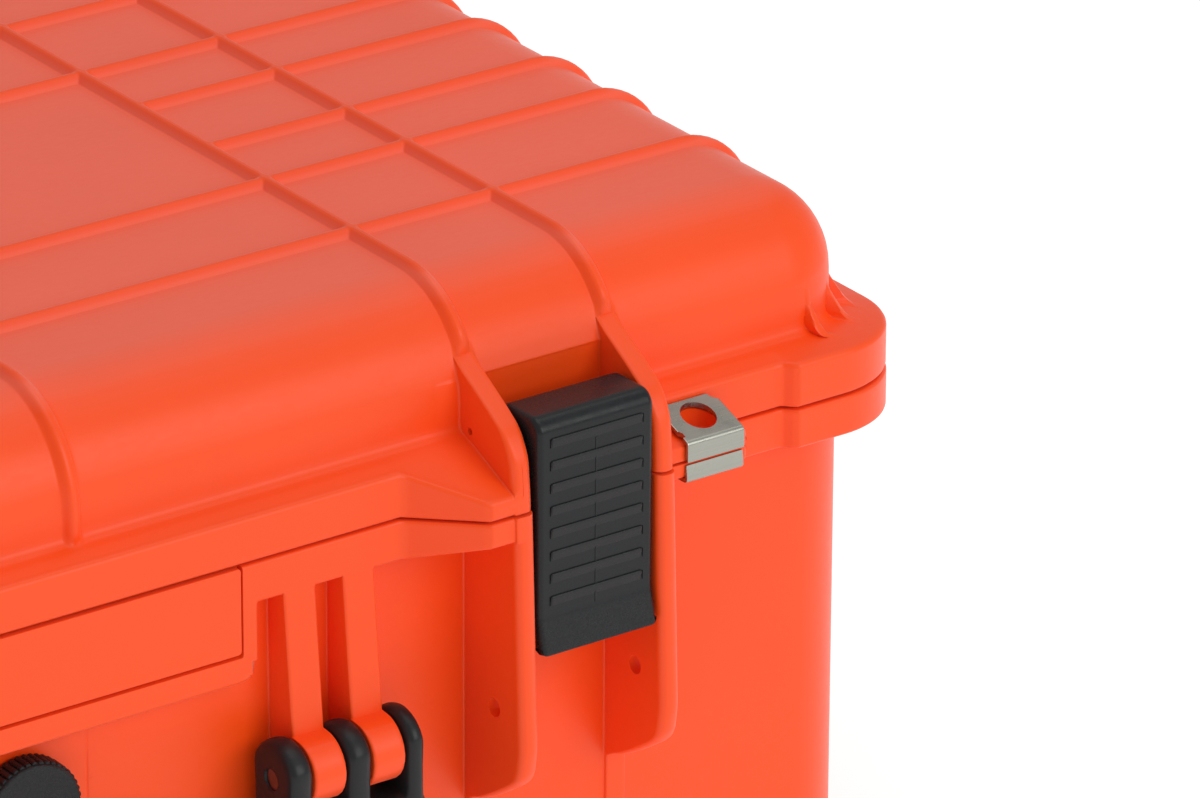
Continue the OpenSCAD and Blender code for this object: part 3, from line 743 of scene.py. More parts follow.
def lid_front(d, plain_d, z, skin, x):
    """The front offsets with the latch's recess, the pad beside the inner ear and the ears."""
    wall = skin & (z > 12.8)
    between = (x > EAR_X[0]) & (x < EAR_X[1]) & wall
    d = np.where(between & (z < PAD_TOP), np.minimum(d, -0.82), d)
    d = np.where(between, d + bell(z - PAD_TOP, 0.7, 0.22), d)
    pad = np.maximum(np.maximum(EAR_X[0] - 8.0 - x, x - EAR_X[0]), z - PAD_TOP)
    d = np.where(wall, raised(d, np.minimum(plain_d, 0.0) + 0.3, pad, 0.3, 0.1), d)
    edge = np.interp(z, (8.0, 22.0), (2.8, 1.3))
    for centre in EAR_X:
        d = np.where(skin, raised(d, lid_ear_front(z), np.abs(x - centre) - EAR_HALF, edge, 0.6), d)
    return d


def lid_gussets(d, z, skin, turns):
    """The corner offsets with the small fins that stand on the flange."""
    fin = np.interp(z, (13.0, 14.0, 22.5, 50.0), (5.8, 5.2, 0.0, -30.0))
    half_fin = np.interp(z, (13.0, 22.5), (1.7, 0.7))
    for centre in np.radians(GUSSET_TURNS):
        s = np.abs(turns - centre)[None, :] * (CORNER_R + 3.0) - half_fin
        d = np.where(skin & (z > 13.2), raised(d, fin, s, 0.6, 0.4), d)
    return d


def lid_profile(sizes):
    """Profile function of the lid for ring_points, from the edge of its top to its ceiling."""
    rib, half = sizes.rib_height / MM, sizes.rib_width / MM / 2
    turns = np.radians(np.sort(np.append(np.linspace(90, 0, 15), (12.6, 13.4, 14.3, 15.2)))[::-1])

    def profile(side, along):
        along = np.asarray(along, float)
        n = len(along)
        sideways = np.full(n, float(side in ("left", "right")))
        if side == "corner":
            sideways = np.sin(along) ** 2
        roll = ROLL_R + (SIDE_ROLL_R - ROLL_R) * sideways
        reach = FLANGE_REACH + LID_STEP + (LID_SIDE_STEP - LID_STEP) * sideways
        top = np.full(n, FLANGE_TOP)
        if side == "front":
            reach, top = lid_reach(along, sizes)
        d, z, row = row_lists(n)
        for a in turns:
            row(roll * (math.cos(a) - 1), LID_TOP + roll * (math.sin(a) - 1))
        foot, foot_z = 3.0, 14.0
        for share in (0.85, 0.6, 0.35, 0.1):
            row(0.0, foot_z + foot + (LID_TOP - roll - (foot_z + foot)) * share)
        for b in np.radians((15, 35, 55, 77)):
            row(foot - foot * math.cos(b), foot_z + foot - foot * math.sin(b))
        over = np.minimum(1.5, reach * 0.3)
        for t in (0.15, 0.35, 0.6, 0.85, 1.0):
            row(foot + (reach - over - foot) * t, foot_z + (top - foot_z) * t)
        for b in np.radians((25, 50, 75)):
            row(reach - over + over * math.sin(b), top - over + over * math.cos(b))
        for t in (0.0, 0.2, 0.4, 0.6, 0.8, 1.0):
            row(reach, (top - over) * (1 - t) + (SEAM_HALF + SEAM_LIP) * t)
        for b in np.radians((30, 60, 90)):
            row(reach - SEAM_LIP + SEAM_LIP * math.cos(b), SEAM_HALF + SEAM_LIP - SEAM_LIP * math.sin(b))
        outer = len(d)
        groove = SEAM_HALF + 5.5
        for offset, height in ((3.5, SEAM_HALF), (3.5, groove), (-0.5, groove), (-0.5, SEAM_HALF),
                               (-WALL, SEAM_HALF), (-WALL, 8.0), (-WALL, 16.0)):
            row(offset, height)
        for a in np.radians(np.linspace(0, 90, 8)):
            row(-roll + (roll - WALL) * math.cos(a), LID_TOP - roll + (roll - WALL) * math.sin(a))
        d, z = np.array(d), np.array(z)
        lean = np.concatenate([turns, np.zeros(len(d) - len(turns))])[:, None]
        skin = (np.arange(len(d)) < outer)[:, None]
        plain_d, plain_z = d.copy(), z.copy()
        if side != "corner":
            sign = 1 if side in ("front", "right") else -1
            beyond, rib_low = 200.0, foot_z + 0.6
            if side in ("front", "back"):
                ribs = lid_ribs_over(along[None, :] * sign, np.full((1, n), -sign * beyond), rib, half)
            else:
                ribs = lid_ribs_over(np.full((1, n), beyond), along[None, :] * sign, rib, half)
            if side == "front":
                rib_low = np.where(np.abs(along) > 60, 34.0, rib_low)[None, :]
            ribs = ribs * smooth_step(z, rib_low - 1.0, rib_low + 2.0) * skin
            d = d + ribs * np.cos(lean)
            z = z + ribs * np.sin(lean)
        if side == "front":
            d = lid_front(d, plain_d, plain_z, skin, np.abs(along)[None, :])
        if side == "corner":
            d = lid_gussets(d, plain_z, skin, along)
        return d, z

    return profile


def build_lid(sizes):
    """The lid as one moulding: dome, ribs, flange, ears, bosses and its hollow."""
    ends_x, ends_y = LID_X - SIDE_ROLL_R, LID_Y - ROLL_R
    xs = near(both(EAR_EDGES_X), (-ends_x, ends_x), 9.0)
    xs = np.union1d(xs, near(both([*EAR_X, RIB_X_FRONT]), (-ends_x, ends_x), 900.0, RIB_STEPS))
    xs = thinned(np.union1d(xs, both(FLANGE_BENDS_X)))
    ys = thinned(near(both([*RIB_Y_LONG, RIB_Y_SHORT]), (-ends_y, ends_y), 9.0, RIB_STEPS))
    turns = np.radians(thinned(near(GUSSET_TURNS, (1.5, 88.5), 4.0, GUSSET_STEPS), 0.4))
    points = ring_points(LID_X, LID_Y, xs, ys, xs, lid_profile(sizes), -ROLL_R, turns)
    rows, cols = points.shape[:2]
    ring = points.reshape(-1, 3), grid_faces(rows, cols, loop=True, flip=True)
    gx, gy = np.meshgrid(xs, ys)
    height, half = sizes.rib_height / MM, sizes.rib_width / MM / 2
    gz = SEAM + LID_TOP + lid_ribs_over(gx, gy, height, half)
    cap = np.stack([gx, gy, gz], 2).reshape(-1, 3), grid_faces(len(ys), len(xs))
    ceiling = points[-1], [tuple(range(cols))[::-1]]
    shell = new_object("lid_moulding", *merged([ring, cap, ceiling]), weld=0.004)
    shell = drilled(shell, [(-137.6, SEAM + 15.9, 0.95, EAR_X[0] - 4, EAR_X[0] - 1)], "lid_drilled")
    knuckles = new_object("lid_knuckles", *merged(hinge_knuckles(1)))
    out = joined([shell, knuckles, *lock_boss(1)], "lid_body")
    flat_faces_first(out)
    return out


def hinge_knuckles(turn):
    """Knuckles of both hinges on the lid (turn 1) or the base (turn -1)."""
    low, high = node_box("hinge_pin_right")
    middle, pitch, width, r = (low[0] + high[0]) / 2, 18.5, 18.0, 6.48
    tall = 12.0 if turn > 0 else 10.5
    tail = [(HINGE_Y - 4, SEAM + turn * r), (144, SEAM + turn * tall), (136, SEAM + turn * tall),
            (136, SEAM + turn), (HINGE_Y - r - 0.3, SEAM + turn * 0.4), (HINGE_Y - 4.6, SEAM - turn * 4.6)]
    outline = np.concatenate([arc(HINGE_Y, SEAM, r, -90, 90, 17), tail[::turn]])
    parts = []
    for i in ((-1, 1) if turn > 0 else (-2, 0, 2)):
        x = middle + i * pitch
        parts.append(swept(outline, x - width / 2, x + width / 2, 0.8))
    return parts + [mirrored(part) for part in parts]


# ---------------------------------------------------------------- the base


def base_reach(x, sizes):
    """Reach of the base's front flange from its wall, and the height of its underside, along x."""
    a = np.abs(x)
    setback = FLANGE_REACH - sizes.setback / MM
    reach = setback + (FLANGE_REACH - setback) * smooth_step(a, *SETBACK_END)
    ramp = ear_ramp(a)
    reach = reach + (22.0 - setback) * ramp
    slot = (a > EAR_X[0]) & (a < EAR_X[1])
    return np.where(slot, 3.0, reach), np.where(slot, FLANGE_LOW, FLANGE_LOW + 4.0 * ramp)


def base_ear_front(z):
    """How far the base's ears stand out from its wall at a height over the seam."""
    return soft(z, (-92, -86, -83, -74, -71, -64, -7, 0), (-8, 0, 8.5, 22, 24, 25, 22.9, 22.6), 1.6)


def box_distance(x, z, x0, x1, z0, z1, r):
    """Distance outside a rectangle with round corners, negative inside."""
    u = np.abs(x - (x0 + x1) / 2) - (x1 - x0) / 2 + r
    v = np.abs(z - (z0 + z1) / 2) - (z1 - z0) / 2 + r
    return np.hypot(np.maximum(u, 0), np.maximum(v, 0)) + np.minimum(np.maximum(u, v), 0) - r


def base_front(d, z, skin, wall, x, setback):
    """The front offsets with the panel's frame and recess, slats, handle eyes, ears and mould line."""
    a = np.abs(x)
    pivot = HANDLE_AT[2] - SEAM
    below = skin & (z < -9.5)
    frame_edge = box_distance(a, z, -HANDLE_INNER, HANDLE_INNER, FRAME_LOW, RECESS_TOP, 5.0)
    d = np.where(below, raised(d, np.full_like(d, setback), frame_edge, 0.8, 0.6), d)
    recess = box_distance(a, z, -RECESS_X, RECESS_X, PANEL_LOW, RECESS_TOP, 1.2)
    d = np.where(skin & (recess < 0), np.minimum(d, setback - 2.4), d)
    slat = np.interp(z, (-57.0, -50.0, -11.0), (12.0, setback + 3.5, setback))
    round_end = 12.0 + np.sqrt(np.maximum(EYE_R**2 - (z - pivot) ** 2, 0))
    eye = np.where(np.abs(z - pivot) < EYE_R, round_end, 0)
    for centre in HANDLE_BOSS:
        s = np.abs(a - centre) - HANDLE_BOSS_HALF
        d = np.where(below & (z > pivot), raised(d, slat, s, 0.8, 0.5), d)
        d = np.where(wall, raised(d, eye, s, 0.9, 0.5), d)
    for centre in EAR_X:
        low_rib = np.where((z < -84) & (centre > LATCH_X), 0.9, -1.0)
        top = np.maximum(base_ear_front(z), low_rib)
        d = np.where(skin, raised(d, top, np.abs(a - centre) - EAR_HALF, 2.7, 0.5), d)
    mould_line = bell(x - PARTING_X, 0.35, 0.3) * (z < -34)
    return np.where(wall, d - mould_line, d)


def base_profile(sizes):
    """Profile function of the base for ring_points: inner floor, rim, flange, wall and underside."""
    bottom = -SEAM
    inner_roll = np.radians(np.linspace(90, 0, 5))
    roll = np.radians(np.linspace(0, 90, 9))
    wall_rows = base_rows()

    def profile(side, along):
        along = np.asarray(along, float)
        n = len(along)
        reach, low = np.full(n, FLANGE_REACH), np.full(n, FLANGE_LOW)
        if side == "front":
            reach, low = base_reach(along, sizes)
        d, z, row = row_lists(n)
        inner_r = FOOT_R - WALL
        for b in inner_roll:
            row(-WALL - inner_r * (1 - math.cos(b)), bottom + WALL + inner_r * (1 - math.sin(b)))
        for height in (-100.0, -50.0, -12.0, -SEAM_HALF):
            row(-WALL, height)
        for offset, height in ((-1.5, -SEAM_HALF), (-1.5, 1.4), (-1.15, 1.75), (0.15, 1.75), (0.5, 1.4),
                               (0.5, -SEAM_HALF)):
            row(offset, height)
        first = len(d)
        under = 0.8
        for b in np.radians((0, 30, 60, 90)):
            row(reach - SEAM_LIP + SEAM_LIP * math.sin(b), -SEAM_HALF - SEAM_LIP + SEAM_LIP * math.cos(b))
        for t in (0.2, 0.4, 0.6, 0.8, 1.0):
            row(reach, (-SEAM_HALF - SEAM_LIP) * (1 - t) + (low + under) * t)
        for b in np.radians((30, 60, 90)):
            row(reach - under + under * math.cos(b), low + under - under * math.sin(b))
        foot = np.minimum(2.0, reach * 0.3)
        for t in (0.3, 0.65, 1.0):
            row((reach - under) * (1 - t) + foot * t, low)
        for b in np.radians((30, 60, 90)):
            row(foot * (1 - math.sin(b)), low - foot * (1 - math.cos(b)))
        upper = len(d)
        for height in wall_rows:
            row(0.0, height)
        for b in roll:
            row(FOOT_R * (math.cos(b) - 1), bottom + FOOT_R - FOOT_R * math.sin(b))
        d, z = np.array(d), np.array(z)
        index = np.arange(len(d))[:, None]
        wall = (index >= upper) & (z > bottom + FOOT_R - 0.05)
        skin = (index >= first) & (z > bottom + FOOT_R - 0.05)
        if side == "front":
            d = base_front(d, z, skin, wall, along[None, :], FLANGE_REACH - sizes.setback / MM)
        return d, z

    return profile


def base_rows():
    """Heights over the seam of the rows on the base's wall, dense at the ends of its features."""
    edges = (-17.0, -19.0, PANEL_LOW, FRAME_LOW, -48.5, -65.5, -86.0)
    rows = near(edges, (-151.9, -13.2), 7.0, ROW_STEPS)
    turns = np.radians((-80, -68, -55, -40, -25, -10, 5, 20, 35, 50, 65, 78))
    eye = HANDLE_AT[2] - SEAM + EYE_R * np.sin(turns)
    curve = np.array((-70.0, -72.0, -73.5, -75.0, -78.0, -80.0, -83.0, -84.5, -85.2, -88.0, -90.0))
    return thinned(np.unique(np.concatenate([rows, eye, curve])), 0.05)[::-1]


def lock_boss(turn):
    """The solid boss on the lid (turn 1) or the base (turn -1) that a padlock plate wraps."""
    y0, y1 = -154.6, -140.5
    z0, z1 = SEAM + turn * SEAM_HALF, SEAM + turn * 4.2
    rise = 4.5 if turn > 0 else -0.4
    outline = [(y0, z0), (y1, z0), (y1, z1 + rise), (y0, z1)]
    outline = rounded(outline[::turn], (0.3, 0.3, 0.3, 0.9)[::turn], 4)
    blank = new_object("boss", *swept(outline, EAR_X[1] + 1.0, LOCK_X + 10.6, 1.0))
    hole = lathe([(5.3, SEAM - 20), (5.3, SEAM + 20)], (LOCK_X, -148.3, 0), "z", 40)
    right = cut_by(blank, new_object("hole", *hole), "boss_right")
    left = linked("boss_left", right.data.copy())
    mirror_mesh(left)
    return [right, left]


def drilled(obj, holes, name):
    """The moulding with round holes across its ears: each is (y, z, radius, first x, last x)."""
    parts = []
    for y, z, r, x0, x1 in holes:
        hole = lathe([(r, x0), (r, x1)], (0, y, z), "x", 20)
        parts += [hole, mirrored(hole)]
    return cut_by(obj, new_object("drill", *merged(parts)), name)


def build_base(sizes):
    """The base as one moulding: tub, flange, ears, panel recess, slats and bosses."""
    ends_x, ends_y = BODY_X - CORNER_R, BODY_Y - CORNER_R
    edges = [*EAR_EDGES_X, HANDLE_INNER, RECESS_X]
    edges += [x + s * HANDLE_BOSS_HALF for x in HANDLE_BOSS for s in (-1, 1)]
    xs = near(both(edges), (-ends_x, ends_x), 9.0)
    xs = np.union1d(xs, both(FLANGE_BENDS_X))
    xs = thinned(np.union1d(xs, (19.4, 19.6, PARTING_X, 20.0, 20.2)))
    ys = near((), (-ends_y, ends_y), 12.0)
    turns = np.linspace(0, math.pi / 2, 27)[1:-1]
    plain = near((), (-ends_x, ends_x), 12.0)
    points = ring_points(BODY_X, BODY_Y, xs, ys, plain, base_profile(sizes), -CORNER_R * 2, turns)
    rows, cols = points.shape[:2]
    ring = points.reshape(-1, 3), grid_faces(rows, cols, loop=True, flip=True)
    floor = points[0], [tuple(range(cols))]
    under = points[-1], [tuple(range(cols))[::-1]]
    shell = new_object("base_moulding", *merged([ring, floor, under]), weld=0.004)
    spare = SEAM - 55.5
    shell = drilled(shell, [(-148.0, spare, 2.5, EAR_X[0] - 5, EAR_X[0] + 5),
                            (-148.0, spare, 2.5, EAR_X[1] - 5, EAR_X[1] + 5)], "base_drilled")
    knuckles = new_object("base_knuckles", *merged(hinge_knuckles(-1)))
    catches = new_object("base_catches", *merged(catch_ribs()))
    out = joined([shell, knuckles, catches, *lock_boss(-1)], "base_body")
    flat_faces_first(out)
    return out


def catch_ribs():
    """Ledges between the base's ears that the latches' hooks take hold of."""
    front = -BODY_Y
    outline = rounded([(front + 1, 139), (front, 139), (front - 11, 136), (front - 11, 131),
                       (front - 6, 131), (front, 127), (front + 1, 127)][::-1], 0.8, 3)
    part = swept(outline, LATCH_X - 13.5, LATCH_X + 13.5, 0.6)
    return [part, mirrored(part)]


# ---------------------------------------------------------------- latches, plates, handle, valve


def node_tree(name, sockets):
    """A Geometry Nodes tree with its named inputs, its pen and its group input node."""
    tree = bpy.data.node_groups.new(name, "GeometryNodeTree")
    tree.interface.new_socket("Geometry", in_out="INPUT", socket_type="NodeSocketGeometry")
    for label, kind, value in sockets:
        socket = tree.interface.new_socket(label, in_out="INPUT", socket_type=kind)
        if value is not None:
            socket.default_value = value
    tree.interface.new_socket("Geometry", in_out="OUTPUT", socket_type="NodeSocketGeometry")
    pen = NodePen(tree)
    return tree, pen, pen.add("NodeGroupInput")


def end_tree(pen, geometry, material):
    """Realizes the instances, sets the material and closes the tree."""
    real = pen.add("GeometryNodeRealizeInstances", {"Geometry": geometry}).outputs[0]
    done = pen.add("GeometryNodeSetMaterial", {"Geometry": real, "Material": material}).outputs[0]
    pen.add("NodeGroupOutput", {0: done})


def run_tree(obj, tree, values, name):
    """The object through the tree with the given inputs, as a plain mesh object."""
    modifier = obj.modifiers.new("pattern", "NODES")
    modifier.node_group = tree
    for item in tree.interface.items_tree:
        if item.in_out == "INPUT" and item.name in values:
            modifier[item.identifier] = values[item.name]
    return as_mesh(obj, name)


def in_line(obj, count, step, material, name):
    """Copies of a small shape along a straight line, made with Geometry Nodes."""
    tree, pen, given = node_tree("row_of_" + name, (
        ("Count", "NodeSocketInt", 8), ("Step", "NodeSocketVector", (0, 0, 0.006)),
        ("Material", "NodeSocketMaterial", None)))
    line = pen.add("GeometryNodeMeshLine", {"Count": given.outputs["Count"], "Offset": given.outputs["Step"]},
                   mode="OFFSET").outputs["Mesh"]
    copies = pen.add("GeometryNodeInstanceOnPoints", {"Points": line, "Instance": given.outputs["Geometry"]})
    end_tree(pen, copies.outputs["Instances"], given.outputs["Material"])
    return run_tree(obj, tree, {"Count": count, "Step": [v * MM for v in step], "Material": material}, name)


def in_ring(obj, count, centre, turn, material, name):
    """Copies of a small shape round an axis through the centre, made with Geometry Nodes.

    turn is the rotation, in degrees, that brings the ring's axis from +Z to its real direction.
    """
    tree, pen, given = node_tree("ring_of_" + name, (
        ("Count", "NodeSocketInt", 60), ("Centre", "NodeSocketVector", (0, 0, 0)),
        ("Turn", "NodeSocketVector", (0, 0, 0)), ("Material", "NodeSocketMaterial", None)))
    line = pen.add("GeometryNodeMeshLine", {"Count": given.outputs["Count"], "Offset": (0, 0, 0)},
                   mode="OFFSET")
    index = pen.add("GeometryNodeInputIndex").outputs[0]
    part = pen.add("ShaderNodeMath", {0: index, 1: given.outputs["Count"]}, operation="DIVIDE").outputs[0]
    angle = pen.add("ShaderNodeMath", {0: part, 1: 2 * math.pi}, operation="MULTIPLY").outputs[0]
    spin = pen.add("ShaderNodeCombineXYZ", {"Z": angle}).outputs[0]
    copies = pen.add("GeometryNodeInstanceOnPoints", {
        "Points": line.outputs["Mesh"], "Instance": given.outputs["Geometry"], "Rotation": spin})
    real = pen.add("GeometryNodeRealizeInstances", {"Geometry": copies.outputs["Instances"]}).outputs[0]
    moved = pen.add("GeometryNodeTransform", {"Geometry": real, "Translation": given.outputs["Centre"],
                                              "Rotation": given.outputs["Turn"]}).outputs[0]
    end_tree(pen, moved, given.outputs["Material"])
    values = {"Count": count, "Centre": [v * MM for v in centre], "Turn": [math.radians(v) for v in turn],
              "Material": material}
    return run_tree(obj, tree, values, name)


def build_lever(side):
    """A latch's lever: rounded cover with a hollow back, its lip and its ridges."""
    low, high = LEVER_LOW, LEVER_HIGH
    face = low[1] + 2.5
    x0, x1 = low[0], high[0]
    pivot_y, pivot_z = LATCH_PIVOT[1:]
    outline = [(high[1] - 4.4, high[2] - 0.3), (face + 2.6, high[2]), (face, high[2] - 2.6),
               (face, low[2] + 9.5), (low[1] + 0.7, low[2] + 2.0), (low[1] + 0.2, low[2]),
               (face + 3.6, low[2]), (pivot_y - 4, SEAM - 30), (pivot_y - 2, SEAM + 4),
               (pivot_y + 3.4, SEAM + 11), (high[1], pivot_z - 1), (high[1], pivot_z + 1.5)]
    radii = [3.6, 5.0, 5.0, 7.0, 1.2, 0.6, 1.4, 4.0, 4.0, 3.0, 2.2, 2.2]
    cover = new_object("cover", *swept(rounded(outline, radii, 9), x0, x1, 1.7, steps=6))
    wall = 3.0
    hollow = box_outline(face + wall, low[2] + 4.5, high[1] + 6, high[2] - wall, 1.2)
    cutter = new_object("hollow", *swept(hollow, x0 + wall, x1 - wall, 0.2))
    cover = smoothed(cut_by(cover, cutter, "lever_cover"))
    cover.data.materials.append(finish("black"))
    width = x1 - x0 - 7.0
    step = rounded([(0.5, 0.2), (-0.32, 0.16), (-0.5, -0.1), (-0.44, -0.5), (0.03, -2.6), (0.5, -2.7)],
                   0.12, 3)
    ridge = new_object("ridge", *swept(step + (face, 0), -width / 2, width / 2, 0.75, steps=5))
    for vertex in ridge.data.vertices:
        vertex.co.x += (x0 + x1) / 2 * MM
        vertex.co.z += (low[2] + 15.0) * MM
    ridges = in_line(ridge, RIDGE_COUNT, (0, 0, RIDGE_PITCH), finish("black"), "ridges")
    parting = swept(box_outline(face - 0.16, low[2] + 10, face + 1, high[2] - 8, 0.3, 3),
                    (x0 + x1) / 2 - 0.45, (x0 + x1) / 2 + 0.05, 0.12)
    crest = new_object("crest", *parting)
    crest.data.materials.append(finish("black"))
    out = joined([cover, ridges, crest], "latch_cover_" + side)
    if side == "left":
        mirror_mesh(out)
    flat_faces_first(out)
    return out


def bent_strip(path, thick, n=7, r=1.5):
    """Closed outline of a strip that follows a path, its bends rounded, thickened to its left."""
    path = np.asarray(path, float)
    inner = [path[0]]
    for i in range(1, len(path) - 1):
        p = path[i]
        u = (path[i - 1] - p) / np.linalg.norm(path[i - 1] - p)
        v = (path[i + 1] - p) / np.linalg.norm(path[i + 1] - p)
        half = math.acos(np.clip(np.dot(u, v), -1, 1)) / 2
        cut = r / math.tan(half)
        for t in np.linspace(0, 1, n):
            a, b = p + u * cut, p + v * cut
            inner.append((1 - t) ** 2 * a + 2 * t * (1 - t) * p + t * t * b)
    inner = np.array(inner + [path[-1]])
    step = np.gradient(inner, axis=0)
    step /= np.linalg.norm(step, axis=1)[:, None]
    outer = inner + np.stack([-step[:, 1], step[:, 0]], 1) * thick
    return np.concatenate([inner, outer[::-1]])


def build_plate(side, turn):
    """A padlock plate: a bent steel strip with a hole, clipped corners and soft edges."""
    place = ("upper_" if turn > 0 else "lower_") + side
    low, high = node_box("lock_plate_" + place)
    x0, x1 = (low[0], high[0]) if side == "right" else (-high[0], -low[0])
    front, back = low[1], high[1]
    thick, face = 1.2, 5.3
    z0 = SEAM + turn * SEAM_HALF
    rise = (high[2] - low[2] - face + 1.1) if turn > 0 else 0.0
    leg = z0 + turn * face
    start = (front, z0) if turn > 0 else (front + 0.7, z0 - 0.35)
    path = [start, (front, leg), (back, leg + turn * rise)]
    outline = counter_clockwise(bent_strip(path, -turn * thick, r=1.7))
    plate = new_object("plate", *swept(outline, x0, x1, 0.28, steps=3))
    hole = lathe([(4.65, SEAM - 20), (4.65, SEAM + 20)], (LOCK_X, front + 7.7, 0), "z", 48)
    plate = cut_by(plate, new_object("hole", *hole), "plate_with_hole")
    clips = [[(x0 - 1, back - 4.5), (x0 + 3.4, back + 1), (x0 - 1, back + 1)],
             [(x1 + 1, back - 3.6), (x1 + 1, back + 1), (x1 - 2.6, back + 1), (x1 - 1.6, back - 1.4)]]
    if turn > 0:
        clips.append([(x0 - 1, front + 6.0), (x0 - 1, front + 2.2), (x0 + 0.9, front + 2.2),
                      (x0 + 0.9, front + 3.6)])
    for clip in clips:
        cut = swept(counter_clockwise(clip), SEAM - 20, SEAM + 20, 0.0, "z", 2)
        plate = cut_by(plate, new_object("clip", *cut, smooth=False), "plate_clipped")
    bevel = plate.modifiers.new("edges", "BEVEL")
    bevel.width = 0.16 * MM
    bevel.segments = 2
    bevel.limit_method = "ANGLE"
    bevel.angle_limit = math.radians(40)
    plate = smoothed(as_mesh(plate, "padlock_plate_" + place))
    if side == "left":
        mirror_mesh(plate)
    flat_faces_first(plate)
    return plate


def build_handle():
    """The handle: three prongs at each end, arms and bar in one smooth moulding."""
    y, z = HANDLE_AT[1:]
    low, high = node_box("handle_frame")
    thick, inner, arm_top, prong_low, bar_top = 9.0, HANDLE_INNER, 91.0, low[2] + 34, low[2] + 20
    outline = np.concatenate([arc(y, z, 10.0, 20, 160, 15), [
        (y - thick, z - 4), (y - thick, prong_low), (y + thick, prong_low), (y + thick, z - 4)]])
    parts = []
    for i, x in enumerate(HANDLE_PRONG):
        outer_half, edge = (3.5, 2.3) if i else (1.7, 2.0)
        prong = swept(outline, x - 3.5, x + outer_half, edge, steps=6)
        parts += [prong, mirrored(prong)]
    outer = [(-high[0], low[2]), (high[0], low[2]), (high[0], arm_top), (inner, arm_top), (inner, bar_top),
             (-inner, bar_top), (-inner, arm_top), (-high[0], arm_top)]
    radii = [14, 14, 3, 2.5, 9, 9, 2.5, 3]
    parts.append(swept(rounded(outer, radii, 9), y - thick, y + thick, 4.2, "y", 6))
    handle = new_object("handle_body", *merged(parts))
    remesh = handle.modifiers.new("one", "REMESH")
    remesh.mode = "VOXEL"
    remesh.voxel_size = 0.9 * MM
    remesh.use_smooth_shade = True
    even = handle.modifiers.new("even", "CORRECTIVE_SMOOTH")
    even.factor = 0.5
    even.iterations = 6
    even.use_only_smooth = True
    handle = as_mesh(handle, "handle_blank")
    bore = lathe([(2.85, -120), (2.85, 120)], (0, y, z), "x", 40)
    return smoothed(cut_by(handle, new_object("bore", *bore), "carry_handle_frame"))


def build_grip():
    """The rubber sleeve round the handle's bar, with even grip ribs and soft ends."""
    low, high = node_box("handle_grip")
    cy, cz = (low[1] + high[1]) / 2, (low[2] + high[2]) / 2
    hy, hz = (high[1] - low[1]) / 2, (high[2] - low[2]) / 2
    outline = box_outline(cy - hy, cz - hz, cy + hy, cz + hz, 6.5, 8)
    normals = outward(outline)
    stations = np.arange(low[0] + 0.01, high[0], 1.0)
    rings = []
    for x in stations:
        ridge = 0.7 * (0.5 - 0.5 * math.cos(2 * math.pi * x / 6.0)) if abs(x) < 48 else 0.35
        end = min(high[0] - abs(x), 2.0)
        inset = ridge + 2.0 - math.sqrt(max(4.0 - (2.0 - end) ** 2, 0))
        ring = outline - normals * inset
        rings.append(np.stack([np.full(len(ring), x), ring[:, 0], ring[:, 1]], 1))
    n = len(outline)
    faces = grid_faces(len(rings), n, loop=True)
    faces += [tuple(range(n))[::-1], tuple(range((len(rings) - 1) * n, len(rings) * n))]
    return new_object("carry_handle_sleeve", np.concatenate(rings), faces)


def build_knob():
    """The valve's knob: a flat face with a soft edge and grip teeth round its rim."""
    low, high = node_box("valve_knob")
    r, front, back = (high[0] - low[0]) / 2, low[1], high[1]
    edge = 0.8
    profile = [(0.5, front), (r - 1.5, front)]
    profile += [(r - 1.5 + edge * math.sin(a), front + edge - edge * math.cos(a))
                for a in np.radians((20, 40, 60, 80))]
    profile += [(r - 0.7, front + 1.1), (r - 1.1, front + 1.4), (r - 1.1, back - 1), (r - 1.5, back - 0.2),
                (r - 2.5, back), (7.9, back), (7.6, back - 0.3), (7.6, front + 3.2)]
    body = new_object("knob_body", *lathe(profile, (VALVE_AT[0], 0, VALVE_AT[2]), "y", 96))
    fix_normals(body)
    body.data.materials.append(finish("black"))
    round_tooth = arc(r - 0.97, 0, 0.95, -180, 180, 11)[:-1]
    tooth = new_object("tooth", *swept(round_tooth, 0.0, back - front - 1.2, 0.4, "z", 3))
    centre = (VALVE_AT[0], back - 0.3, VALVE_AT[2])
    teeth = in_ring(tooth, TOOTH_COUNT, centre, (90, 0, 0), finish("black"), "teeth")
    out = joined([body, teeth], "pressure_knob")
    flat_faces_first(out)
    return out


def build_panel():
    """The bare name panel in its recess under the flange."""
    low, high = node_box("name_panel")
    outline = box_outline(low[0], low[2], high[0], high[2], 1.0, 4)
    out = new_object("front_panel", *swept(outline, low[1], high[1], 0.35, "y", 3))
    flat_faces_first(out)
    return out


# ---------------------------------------------------------------- contents


